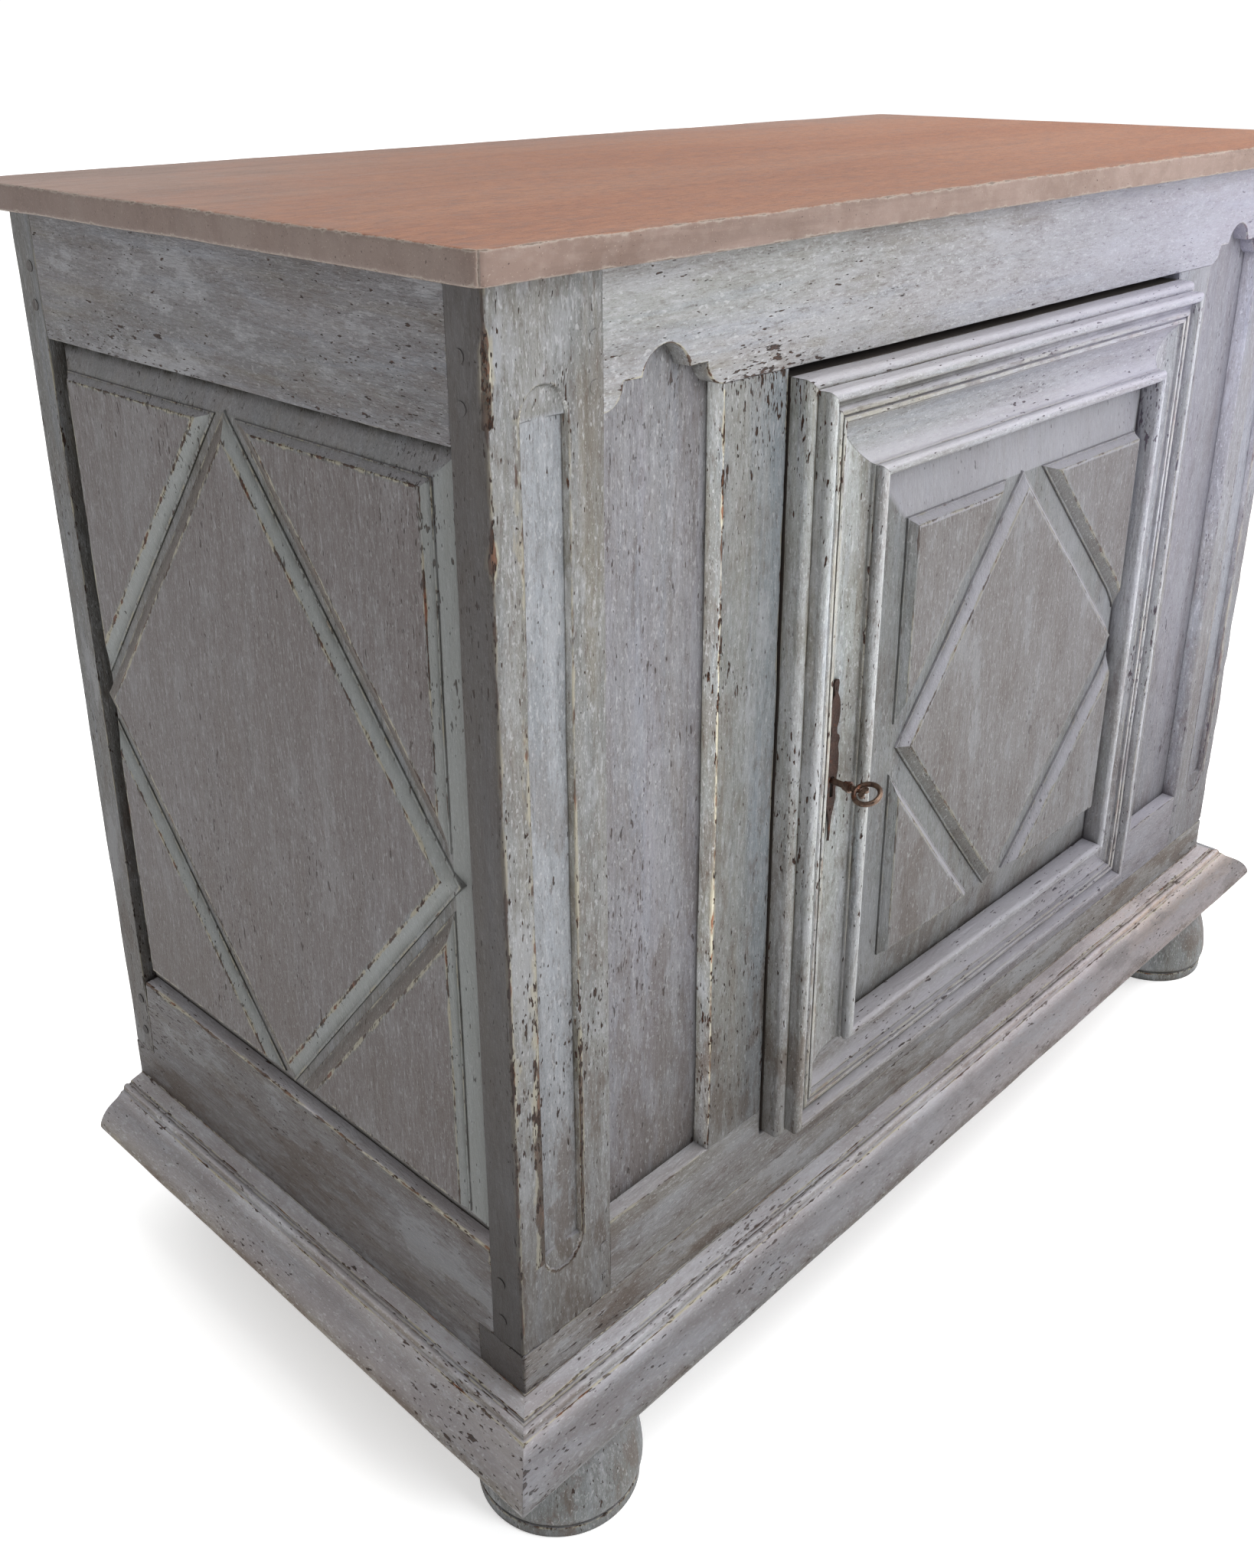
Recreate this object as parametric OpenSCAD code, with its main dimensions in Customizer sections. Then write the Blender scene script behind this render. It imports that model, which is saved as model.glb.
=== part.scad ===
// Single-door panelled buffet on bun feet. Millimetres. +Z up, the front faces -Y,
// origin on the floor under the middle of the bounding box.

/* [Carcass] */
// Width of the carcass without mouldings
carcass_w = 1150; // [1000:10:1300]
// Depth of the carcass without mouldings
carcass_d = 560; // [480:5:640]
// Height from the top of the base moulding to the underside of the top
carcass_h = 828; // [760:4:900]
// Thickness of the front frame
frame_t = 33; // [28:1:40]
// Width of the fluted corner posts on the front
post_w = 94; // [80:1:110]
// Height of the sill under posts and bottom rails
sill_h = 37; // [30:1:45]

/* [Top] */
// Thickness of the top board
top_t = 20; // [16:1:30]
// Overhang of the top at the two sides
top_side = 30; // [20:1:45]
// Overhang of the top at the front
top_front = 32; // [20:1:45]
// Overhang of the top at the back
top_back = 7; // [0:1:15]

/* [Base] */
// Height of the mitred base moulding
base_h = 58; // [50:1:70]
// Height of a bun foot below the moulding
foot_h = 85; // [70:1:100]
// Largest radius of a bun foot
foot_r = 66.3; // [55:0.1:72]

/* [Door] */
// Width of the door
door_w = 594; // [560:2:620]
// Height of the door
door_h = 648; // [630:2:654]
// Height of the bottom of the door above the base moulding
door_z = 82; // [76:1:86]
// Thickness of the door frame behind the mouldings
leaf_t = 26; // [22:1:28]

/* [Relief] */
// Depth of the side panels below the frame at their edges
side_edge = 13; // [11:1:15]
// Height of the raised fields above the ground of the side panels
side_field = 6; // [4:1:8]
// Height of the raised fields above the ground of the door panel
door_field = 9; // [5:1:10]
// Width of the bevel along the diamond
field_b = 12; // [8:1:14]
// Depth of the flutes in the corner posts
flute_d = 4.5; // [3:0.5:6]

/* [Lock] */
// Travel of the lock bolt
bolt_throw = 12; // [10:1:14]
// Angle the key turns
key_turn = 130; // [90:5:150]

/* [Fits] */
// Radial clearance of the hinge pins and of the key pivot
run_fit = 0.05; // [0.02:0.01:0.10]
// Gap between the door and its opening at the sides
door_gap = 2; // [1.5:0.5:3]

/* [Part] */
// Which sub-part is drawn

/* [Hidden] */
$fn = 64;
hw = carcass_w / 2;
D = carcass_d;
H = carcass_h;
Z0 = base_h + foot_h;
key_front = 64;
YC = (D + top_back - key_front) / 2;
dx = door_w / 2;
dz0 = door_z;
dz1 = door_z + door_h;
ox = dx + door_gap;
stile_in = ox;
stile_out = 367;
post_in = hw - post_w;
rail_z = 736;
brail_z = 104;
notch_z = dz0 - 3;
xk = -dx + 50;
zk = dz0 + door_h / 2 - 1;
xh = dx + 8.5;
yh = -12;
hz = [dz0 + 90, dz1 - 166];
e = 0.01;

// ---------- helpers ----------
module b(x0, x1, y0, y1, z0, z1) { translate([x0, y0, z0]) cube([x1 - x0, y1 - y0, z1 - z0]); }
module place() { translate([0, -YC, Z0]) children(); }
module mx() { mirror([1, 0, 0]) children(); }
// plan or elevation plates: a polygon in x,z run from y0 to y1
module plate_xz(y0, y1, pts) { translate([0, y1, 0]) rotate([90, 0, 0]) linear_extrude(y1 - y0) polygon(pts); }
// a cylinder along +Y
module cyl_y(x, z, y0, y1, r) { translate([x, y1, z]) rotate([90, 0, 0]) cylinder(r = r, h = y1 - y0); }
function arc(cx, cy, r, a0, a1, n) = [for (i = [0:n]) let (a = a0 + (a1 - a0) * i / n) [cx + r * cos(a), cy + r * sin(a)]];

// ---------- front frame ----------
flute_x = -(hw - 44.5);
module flute() {
  // shallow channel with scooped, arched ends
  b(flute_x - 19.5, flute_x + 19.5, -1, flute_d, 122, 741);
  translate([flute_x, -(57 - flute_d), 741]) sphere(r = 57, $fn = 96);
  translate([flute_x, -(57 - flute_d), 116]) sphere(r = 57, $fn = 96);
}
module tenon_front_rail(z0, z1) { b(-post_in - 30, -post_in + 1, 11, 22, z0, z1); }
module tenon_side(z0, z1) { b(-hw + 9, -hw + 18, 11, frame_t + 1, z0, z1); }
module tenon_side_back(z0, z1) { b(-hw + 9, -hw + 18, D - 34, D - 11, z0, z1); }
peg_r = 4.5;
pegs_f = [[-post_in - 7, 784], [-post_in - 7, 754], [-post_in - 7, 56], [-post_in - 7, 86]];
pegs_sz = [782, 752, 60, 96];
module pegs_half(g) {
  for (p = pegs_f) cyl_y(p[0], p[1], -g, 28, peg_r);
  for (z = pegs_sz) {
    translate([-hw - g, 22, z]) rotate([0, 90, 0]) cylinder(r = peg_r, h = 24 + g);
    translate([-hw - g, D - 22, z]) rotate([0, 90, 0]) cylinder(r = peg_r, h = 24 + g);
  }
}
module pegs_carcass() { color("#8d8f8d") place() { pegs_half(0.5); mx() pegs_half(0.5); } }
module post_front() {
  difference() {
    b(-hw, -post_in, 0, frame_t, sill_h, H);
    flute();
    tenon_front_rail(748, 816);
    tenon_front_rail(sill_h + 8, brail_z - 8);
    tenon_side(740, 816);
    tenon_side(sill_h + 8, 112);
    // grooves for the shaped panel and for the side panel
    b(-post_in - 9, -post_in + 1, 15, 23.2, 90, 790);
    b(-hw + side_edge, -hw + side_edge + 9.2, frame_t - 9, frame_t + 1, 112, 740);
    pegs_half(1);
  }
}
module post_front_left() { color("#a9acae") place() post_front(); }
module post_front_right() { color("#a9acae") place() mx() post_front(); }
module post_back() {
  difference() {
    b(-hw, -hw + 60, D - frame_t, D, sill_h, H);
    tenon_side_back(740, 816);
    tenon_side_back(sill_h + 8, 112);
    b(-hw + side_edge, -hw + side_edge + 9.2, D - frame_t - 1, D - frame_t + 9, 112, 740);
    b(-hw + 40, -hw + 61, D - 27, D - 17, 780, 816);
    b(-hw + 40, -hw + 61, D - 27, D - 17, sill_h + 8, 86);
    pegs_half(1);
  }
}
module post_back_left() { color("#8a8c8c") place() post_back(); }
module post_back_right() { color("#8a8c8c") place() mx() post_back(); }

// outline of the lower edge of the top rail above a shaped panel, from post to stile
sc = -(post_in + stile_out) / 2;
shape_edge = concat(
  [[-post_in, rail_z]],
  arc(-post_in, rail_z + 17, 17, -90, 0, 10),
  [[sc - 31, 753], [sc - 23, 753]],
  arc(sc, 747.5, 23.5, 166, 14, 18),
  [[sc + 23, 753], [sc + 31 + 9, 753]],
  arc(-stile_out, rail_z + 17, 17, 180, 270, 10));
module rail_front_top() {
  color("#aeb1b3") place() difference() {
    union() {
      plate_xz(0, frame_t, concat([[-post_in, H]], shape_edge,
        [for (i = [len(shape_edge) - 1:-1:0]) [-shape_edge[i][0], shape_edge[i][1]]], [[post_in, H]]));
      tenon_front_rail(748, 816);
      mx() tenon_front_rail(748, 816);
    }
    for (s = [0, 1]) mirror([s, 0, 0]) {
      b(-post_in - 9, -stile_out + 9, 15, 23.2, 730, 790);
      b(-stile_out + 12, -stile_in - 12, 11, 22, 735, 766);
      for (p = pegs_f) cyl_y(p[0], p[1], -1, 28, peg_r);
    }
  }
}
module rail_front_bottom() {
  color("#a3a5a7") place() difference() {
    union() {
      plate_xz(0, frame_t, [[-post_in, sill_h], [post_in, sill_h], [post_in, brail_z], [stile_in, brail_z],
        [stile_in, notch_z], [-stile_in, notch_z], [-stile_in, brail_z], [-post_in, brail_z]]);
      tenon_front_rail(sill_h + 8, brail_z - 8);
      mx() tenon_front_rail(sill_h + 8, brail_z - 8);
    }
    for (s = [0, 1]) mirror([s, 0, 0]) {
      b(-post_in - 9, -stile_out + 9, 15, 23.2, 94, 105);
      b(-stile_out + 12, -stile_in - 12, 11, 22, 78, 105);
      for (p = pegs_f) cyl_y(p[0], p[1], -1, 28, peg_r);
    }
  }
}
module stile_inner() {
  difference() {
    union() {
      b(-stile_out, -stile_in, 0, frame_t, brail_z, rail_z);
      b(-stile_out + 12, -stile_in - 12, 11, 22, 78, 766);
    }
    b(-stile_out - 1, -stile_out + 9, 15, 23.2, 90, 790);
  }
}
module stile_inner_left() { color("#aab0b4") place() stile_inner(); }
module stile_inner_right() {
  color("#a9acae") place() difference() {
    mx() stile_inner();
    for (z = hz) b(xh - 1.2, xh + 1.2, -1, 27, z + 3, z + 35);
  }
}
// the top outer corner is cut back past the tenon pegs
module panel_shaped() {
  difference() {
    b(-post_in - 8, -stile_out + 8, 15.1, 23.1, 95, 788);
    b(-post_in - 9, -post_in - 2, 15, 24, 744, 790);
  }
}
module panel_shaped_left() { color("#b3b4bd") place() panel_shaped(); }
module panel_shaped_right() { color("#b3b4bd") place() mx() panel_shaped(); }

// ---------- sides ----------
module side_rail(z0, z1, t0, t1, gz0, gz1) {
  difference() {
    union() {
      b(-hw, -hw + 26, frame_t, D - frame_t, z0, z1);
      b(-hw + 9, -hw + 18, 11, D - 11, t0, t1);
    }
    b(-hw + side_edge, -hw + side_edge + 9.2, frame_t - 30, D, gz0, gz1);
    pegs_half(1);
  }
}
module rail_side_top() { side_rail(727, H, 740, 816, 720, 737); }
module rail_side_bottom() { side_rail(sill_h, 120, sill_h + 8, 112, 111, 125); }
module rail_side_top_left() { color("#85878a") place() rail_side_top(); }
module rail_side_top_right() { color("#85878a") place() mx() rail_side_top(); }
module rail_side_bottom_left() { color("#7d7f82") place() rail_side_bottom(); }
module rail_side_bottom_right() { color("#7d7f82") place() mx() rail_side_bottom(); }

// a raised field: polygon drawn counter-clockwise, one bevel width per edge
module field(pts, h, bev) {
  n = len(pts);
  difference() {
    translate([0, 0, -2]) linear_extrude(h + 2) polygon(pts);
    for (i = [0:n - 1]) let (p = pts[i], q = pts[(i + 1) % n], L = norm(q - p))
      translate([p[0], p[1], 0]) rotate([0, 0, atan2(q[1] - p[1], q[0] - p[0])]) translate([-20, 0, 0])
        rotate([90, 0, 90]) linear_extrude(L + 40)
          polygon([[-2, 0], [0, 0], [bev[i] + bev[i] / h, h + 1], [-2, h + 1]]);
  }
}
// four corner triangles and a diamond. a, c: half sizes at the foot of the outer bevel;
// kx, kz: half sizes of the diamond's top face; band: flat ground between the bevels
module fields(a, c, kx, kz, band, h, bo, bd) {
  n = kx * kz / norm([kx, kz]);
  s = 1 + bd / n;
  t = s + band / n;
  field([[0, -kz * s], [kx * s, 0], [0, kz * s], [-kx * s, 0]], h, [bd, bd, bd, bd]);
  for (i = [0, 1]) for (j = [0, 1]) mirror([i, 0, 0]) mirror([0, j, 0])
    field([[a, c], [kx * (t - c / kz), c], [a, kz * (t - a / kx)]], h, [bo, bd, bo]);
}
// plateau with sloping margins on all four sides
module plateau(a, c, h, m) { field([[-a, -c], [a, -c], [a, c], [-a, c]], h, [m, m, m, m]); }
spz = (120 + 727) / 2;
module panel_side() {
  // drawn flat, then stood up: local x runs to the front, local y up, local z outwards
  union() {
    b(-hw + side_edge, -hw + side_edge + 9, frame_t - 8, D - frame_t + 8, 112.5, 736);
    translate([-hw + side_edge, D / 2, spz]) rotate([90, 0, -90]) {
      plateau(D / 2 - frame_t, (727 - 120) / 2, 10, 21);
      translate([0, 0, 10]) fields(D / 2 - frame_t - 21.5, (727 - 120) / 2 - 21.5, 216.5, 264, 23.3, side_field, 7, field_b);
    }
  }
}
module panel_side_left() { color("#8b8a8e") place() panel_side(); }
module panel_side_right() { color("#8b8a8e") place() mx() panel_side(); }

// ---------- back, bottom, inside ----------
module rail_back_top() {
  color("#6d5a48") place() { b(-hw + 60, hw - 60, D - 33, D - 11, 770, H);
    for (s = [0, 1]) mirror([s, 0, 0]) b(-hw + 40, -hw + 60, D - 27, D - 17, 780, 816); }
}
module rail_back_bottom() {
  color("#6d5a48") place() { b(-hw + 60, hw - 60, D - 33, D - 11, sill_h, 95);
    for (s = [0, 1]) mirror([s, 0, 0]) b(-hw + 40, -hw + 60, D - 27, D - 17, sill_h + 8, 86); }
}
module back_boards() {
  n = 6; w = (2 * hw - 120) / n;
  color("#6f5b47") place() for (i = [0:n - 1])
    b(-hw + 60 + i * w + 0.75, -hw + 60 + (i + 1) * w - 0.75, D - 11, D, 50, 810);
}
module sill_front() { color("#9ea0a2") place() b(-hw, hw, 0, 50, 0, sill_h); }
module sill_left() { color("#808284") place() b(-hw, -hw + 50, 50, D, 0, sill_h); }
module sill_right() { color("#808284") place() b(hw - 50, hw, 50, D, 0, sill_h); }
module sill_back() { color("#6d5a48") place() b(-hw + 50, hw - 50, D - 50, D, 0, sill_h); }
module bottom_boards() {
  n = 4; w = (D - 2 * frame_t) / n;
  color("#8a7258") place() for (i = [0:n - 1])
    b(-hw + 26.5, hw - 26.5, frame_t + i * w + 0.5, frame_t + (i + 1) * w - 0.5, sill_h, sill_h + 18);
}
module shelf_boards() {
  n = 3; w = 460 / n;
  color("#8a7258") place() for (i = [0:n - 1])
    b(-hw + 27, hw - 27, 62 + i * w, 62 + (i + 1) * w - 1, 380, 398);
}
module shelf_cleats() {
  color("#75604a") place() for (s = [0, 1]) mirror([s, 0, 0]) b(-hw + 26, -hw + 48, frame_t, D - frame_t, 352, 380);
}
module top_cleats() {
  color("#75604a") place() for (s = [0, 1]) mirror([s, 0, 0]) b(-hw + 26, -hw + 50, frame_t, D - frame_t, 796, H);
}

// ---------- top ----------
module top_board() {
  x = hw + top_side; y0 = -top_front; y1 = D + top_back; r = 9;
  color("#b98a6a") place() translate([0, 0, H]) difference() {
    linear_extrude(top_t) polygon(concat(
      arc(-x + r, y0 + r, r, 180, 270, 8), arc(x - r, y0 + r, r, 270, 360, 8),
      arc(x - 3, y1 - 3, 3, 0, 90, 4), arc(-x + 3, y1 - 3, 3, 90, 180, 4)));
    // worn arris along the front, upper and lower
    translate([-x - 1, y0, 0]) rotate([90, 0, 90]) linear_extrude(2 * x + 2) polygon([[-1, -1], [1.5, -1], [1.5, 0], [0, 1.5], [-1, 1.5]]);
    translate([-x - 1, y0, top_t]) rotate([90, 0, 90]) linear_extrude(2 * x + 2) polygon([[-1, 1], [1.8, 1], [1.8, 0], [0, -1.8], [-1, -1.8]]);
  }
}

// ---------- base ----------
base_prof = concat(
  [[-40, -base_h], [-40, 0], [0, 0], [0, -2], [13, -5.5], [14, -7.6], [15.2, -7.6]],
  arc(18.4, -9.2, 3.4, 150, 30, 6),
  [[22, -9.8], [22.6, -11.4], [24, -11.8], [26, -13.6], [28.5, -16.2], [31, -18.6], [33.2, -20.6]],
  arc(37.4, -34.6, 12.6, 100, 2, 12),
  [[50, -37.5], [48.6, -43], [45.2, -48], [41.5, -51.4], [38, -54], [36.5, -base_h]]);
module base_moulding_front() {
  color("#a2a3a6") place() difference() {
    intersection() {
      translate([-hw - 70, 0, 0]) rotate([90, 0, 90]) linear_extrude(2 * hw + 140) polygon([for (q = base_prof) [-q[0], q[1]]]);
      translate([0, 0, -base_h - 1]) linear_extrude(base_h + 2) polygon([[-hw - 60, -60], [hw + 60, -60], [hw - 40, 40], [-hw + 40, 40]]);
    }
    for (s = [-1, 1]) translate([s * ffx, ffy, -base_h - 1]) cylinder(r = 12, h = 36);
  }
}
module base_moulding_side() {
  difference() {
    intersection() {
      translate([0, D, 0]) rotate([90, 0, 0]) linear_extrude(D + 70) polygon([for (q = base_prof) [-hw - q[0], q[1]]]);
      translate([0, 0, -base_h - 1]) linear_extrude(base_h + 2) polygon([[-hw - 60, -60], [-hw - 60, D + 1], [-hw + 40, D + 1], [-hw + 40, 40]]);
    }
  }
}
module base_moulding_left() { color("#8a8580") place() base_moulding_side(); }
module base_moulding_right() { color("#8a8580") place() mx() base_moulding_side(); }
module base_back_bar() { color("#6d5a48") place() b(-hw + 40, hw - 40, D - 40, D, -base_h, 0); }
ffx = hw - 55.8; ffy = 24.1;
bfx = hw - 78; bfy = D - 80;
module base_corner_blocks() {
  color("#6d5a48") place() for (s = [0, 1]) mirror([s, 0, 0]) difference() {
    b(-hw + 40, -hw + 120, D - 120, D - 40, -base_h, 0);
    translate([-bfx, bfy, -base_h - 1]) cylinder(r = 12, h = 36);
  }
}
foot_pts = [[0, 0], [52, 0], [56.5, -8], [60.5, -18], [63.6, -28], [66, -38], [67.6, -48], [68.5, -57], [68.4, -63],
  [67.2, -68.5], [65.2, -72.4], [64.4, -73.2], [65.8, -73.8], [66.3, -75.2], [66.3, -83.6], [65.2, -85], [0, -85]];
foot_prof = [for (p = foot_pts) [p[0] * foot_r / 66.3, p[1] * foot_h / 85]];
module foot(x, y) {
  translate([x, y, -base_h]) {
    rotate_extrude($fn = 96) polygon(foot_prof);
    cylinder(r = 12, h = 34);
  }
}
module foot_front_left() { color("#83888a") place() foot(-ffx, ffy); }
module foot_front_right() { color("#83888a") place() foot(ffx, ffy); }
module foot_back_left() { color("#83888a") place() foot(-bfx, bfy); }
module foot_back_right() { color("#83888a") place() foot(bfx, bfy); }

// ---------- case ironwork ----------
module door_stops() {
  color("#75604a") place() { b(-150, 150, leaf_t + 0.5, frame_t, rail_z - 12, rail_z); b(-150, 150, leaf_t + 0.5, frame_t, notch_z, notch_z + 12); }
}
module lock_keeper() {
  color("#3b332d") place() { b(-ox - 32, -ox - 0.5, frame_t, 42.5, zk + 4, zk + 8); b(-ox - 32, -ox - 0.5, frame_t, 42.5, zk + 32, zk + 36);
    b(-ox - 32, -ox - 0.5, 40.5, 42.5, zk + 4, zk + 36); }
}
module hinge_case_leaves() {
  color("#3b332d") place() for (z = hz) difference() {
    union() {
      translate([xh, yh, z]) cylinder(r = 6, h = 38);
      translate([xh, yh, z - 4]) sphere(r = 5);
      b(xh - 1.2, xh + 1.2, yh, 27, z + 3, z + 35);
    }
    translate([xh, yh, z + 2]) cylinder(r = 3.2, h = 40);
  }
}
module hinge_pins() { color("#4a423b") place() for (z = hz) translate([xh, yh, z + 2]) cylinder(r = 3.2, h = 70); }
module hinge_door_leaves() {
  color("#3b332d") place() for (z = hz) difference() {
    union() {
      translate([xh, yh, z + 38.4]) cylinder(r = 6, h = 38);
      translate([xh, yh, z + 80]) sphere(r = 5);
      b(dx - 35, xh, yh - 1.2, yh + 1.2, z + 41.4, z + 73.4);
    }
    translate([xh, yh, z + 37]) cylinder(r = 3.2 + run_fit, h = 36);
  }
}

// ---------- door ----------
door_prof = concat(
  [[0, 0], [0, 9]],
  [[4.6, 9.4]], arc(5.2, 14.6, 4.9, 260, 100, 8), [[4.6, 19.8], [6, 20.4], [6, 23.2], [3.4, 24]],
  arc(7.6, 29.2, 5, 200, 60, 8),
  [[13.5, 31.6], [16.5, 27], [17.3, 25.6]],
  arc(23, 12.8, 13.4, 112, 68, 6),
  [[29.2, 24], [30.4, 24], [30.4, 25.4], [33.4, 25.4], [33.4, 23.4], [35, 22.6]],
  arc(50.5, 35.2, 19.8, 220, 322, 14),
  [[67.2, 23.4], [67.2, 26], [68.4, 26]],
  arc(74, 29.4, 5.7, 180, 40, 10),
  [[80.5, 30.8], [80.5, 14], [68.5, 14], [68.5, 0]]);
module mitred(L) {
  intersection() {
    linear_extrude(L) polygon([for (q = door_prof) [q[0], -q[1]]]);
    translate([0, 1, 0]) rotate([90, 0, 0]) linear_extrude(60) polygon([[0, 0], [90, 90], [90, L - 90], [0, L]]);
  }
}
// round hole with a slot below it that the key passes through
module keyway(y0, y1) { cyl_y(xk, zk, y0, y1, 4.2); b(xk - 2.1, xk + 2.1, y0, y1, zk - 14.8, zk); }
module door_moulding_left() {
  color("#a7aaa9") place() difference() {
    translate([-dx, 0, dz0]) mitred(door_h);
    // flat housing for the escutcheon and the key way through the moulding
    b(xk - 8.2, xk + 8.2, -30, -16.4, zk - 56, zk + 88);
    keyway(-30, 1);
  }
}
module door_moulding_right() {
  color("#a7aaa9") place() difference() {
    mx() translate([-dx, 0, dz0]) mitred(door_h);
    for (z = hz) b(dx - 35, dx + 1, yh - 1.2, yh + 1.2, z + 41.4, z + 73.4);
  }
}
module door_moulding_top() { color("#b3b5ba") place() translate([-dx, 0, dz1]) rotate([0, 90, 0]) mitred(door_w); }
module door_moulding_bottom() { color("#a3a4a8") place() translate([-dx, 0, dz0]) mirror([0, 0, 1]) rotate([0, 90, 0]) mitred(door_w); }
module door_tenon(z0, z1) { b(-dx + 48, -dx + 89, 8, 18, z0, z1); }
dpegs = [[-dx + 70, dz1 - 24], [-dx + 70, dz1 - 60], [-dx + 70, dz0 + 24], [-dx + 70, dz0 + 60]];
module door_stile() {
  difference() {
    b(-dx, -dx + 88, 0, leaf_t, dz0, dz1);
    door_tenon(dz1 - 76, dz1 - 10);
    door_tenon(dz0 + 10, dz0 + 76);
    for (p = dpegs) cyl_y(p[0], p[1], 2, leaf_t + 1, peg_r);
  }
}
module door_stile_left() {
  color("#8a7258") place() difference() { door_stile(); keyway(-1, leaf_t + 1); }
}
module door_stile_right() { color("#8a7258") place() mx() door_stile(); }
module door_rail(z0, z1) {
  difference() {
    union() { b(-dx + 88, dx - 88, 0, leaf_t, z0, z1); for (s = [0, 1]) mirror([s, 0, 0]) b(-dx + 48, -dx + 88, 8, 18, z0 + (z0 < 300 ? 10 : 12), z1 - (z0 < 300 ? 12 : 10)); }
    for (s = [0, 1]) mirror([s, 0, 0]) for (p = dpegs) cyl_y(p[0], p[1], 2, leaf_t + 1, peg_r);
  }
}
module door_rail_top() { color("#8a7258") place() door_rail(dz1 - 88, dz1); }
module door_rail_bottom() { color("#8a7258") place() door_rail(dz0, dz0 + 88); }
module door_pegs() {
  color("#7b6650") place() for (s = [0, 1]) mirror([s, 0, 0]) for (p = dpegs) cyl_y(p[0], p[1], 2, leaf_t + 0.6, peg_r);
}
module door_panel() {
  color("#a39f9f") place() {
    b(-dx + 69, dx - 69, -14, 0, dz0 + 69, dz1 - 69);
    translate([0, -14, (dz0 + dz1) / 2]) rotate([90, 0, 0]) {
      plateau(dx - 80.5, door_h / 2 - 80.5, 6, 44);
      translate([0, 0, 6]) fields(dx - 125.5, door_h / 2 - 125.5, 154, 187, 22, door_field, 6, field_b);
    }
  }
}

// ---------- lock ----------
module lock_case() {
  color("#40372f") place() difference() {
    b(-dx + 5, -dx + 92, leaf_t, 43, zk - 34, zk + 42);
    b(-dx + 6.5, -dx + 90.5, leaf_t - 1, 41.5, zk - 32.5, zk + 40.5);
    b(-dx + 4, -dx + 8, 33.6, 39.4, zk + 9.6, zk + 30.4);
    cyl_y(xk, zk, 40, 44, 2.6 + run_fit);
    for (p = lock_nail_pos) cyl_y(p[0], p[1], 40, 44, 1.6);
  }
  // staple that guides the tail of the bolt
  color("#40372f") place() {
    b(-dx + 66, -dx + 71, 32, 41.5, zk + 6.6, zk + 9.6);
    b(-dx + 66, -dx + 71, 32, 41.5, zk + 30.4, zk + 33);
    b(-dx + 66, -dx + 71, 32, 33.6, zk + 9.6, zk + 30.4);
  }
}
lock_nail_pos = [[-dx + 12, zk - 26], [-dx + 85, zk - 26], [-dx + 12, zk + 36], [-dx + 85, zk + 36]];
module lock_nails() {
  color("#2e2822") place() for (p = lock_nail_pos) { cyl_y(p[0], p[1], leaf_t, 43, 1.6); cyl_y(p[0], p[1], 43, 44.6, 3.6); }
}
module lock_bolt() {
  // notch in the lower edge that the key bit works in
  color("#55493d") place() difference() {
    b(-dx + 4, -dx + 84, 34, 39, zk + 10, zk + 30);
    b(xk - 2, xk + 14, 33, 40, zk + 9, zk + 17);
  }
}
esc_half = [[87, 0.6], [86.4, 2.2], [83.4, 3.2], [79, 2.6], [75, 2], [70, 4.6], [64, 6], [57, 6.2], [50, 5.2], [45.5, 3.4], [40, 3.6],
  [37.6, 6.6], [34.5, 7.6], [31.5, 6.4], [28, 5.8], [21, 7.4], [14, 7.4], [8, 7.6], [4, 6.4], [-3, 6], [-10, 5.4], [-16, 6], [-21, 5.4],
  [-27, 3.6], [-32, 2], [-40, 1.2], [-54, 0.6]];
module escutcheon() {
  color("#352b25") place() difference() {
    plate_xz(-17.8, -16.4, concat([for (q = esc_half) [xk + q[1], zk + q[0]]],
      [for (i = [len(esc_half) - 1:-1:0]) [xk - esc_half[i][1], zk + esc_half[i][0]]]));
    cyl_y(xk, zk, -19, -16, 3.6);
    b(xk - 2.1, xk + 2.1, -19, -16, zk - 14.8, zk);
    for (z = esc_nails) cyl_y(xk, zk + z, -19, -15, 0.8);
  }
}
esc_nails = [79.5, -26];
module escutcheon_nails() {
  color("#2b2420") place() for (z = esc_nails) { cyl_y(xk, zk + z, -17.8, -16.4, 0.8);
    intersection() { translate([xk, -17.2, zk + z]) sphere(r = 1.7); b(xk - 3, xk + 3, -20, -17.8, zk + z - 3, zk + z + 3); } }
}
bow_r = 10.4;
module key() {
  // bow and bit lie in one plane, 25 degrees above the horizontal
  color("#4b3a2e") place() translate([xk, 0, zk]) rotate([0, -25, 0]) {
    translate([0, 43.6, 0]) rotate([90, 0, 0]) cylinder(r = 2.6, h = 43.6 + key_front - 24);
    for (q = [[-30, 3.2, 3.9], [-33.2, 2.4, 4.6], [-35.6, 1.6, 3.6]])
      translate([0, q[0], 0]) rotate([90, 0, 0]) cylinder(r = q[2], h = q[1]);
    translate([0, -key_front + bow_r + 2.2, 0]) {
      rotate_extrude($fn = 96) translate([bow_r, 0]) circle(r = 2.2, $fn = 32);
      translate([0, 10, 0]) rotate([90, 0, 0]) cylinder(r = 1.6, h = 7);
      translate([3, 3.2, 0]) cylinder(r = 2.6, h = 2.4, center = true);
      translate([-3, 3.2, 0]) cylinder(r = 2.6, h = 2.4, center = true);
    }
    difference() {
      b(0, 14, 32, 40, -1.5, 1.5);
      b(9, 11, 31, 35, -2, 2);
    }
  }
}

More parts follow.
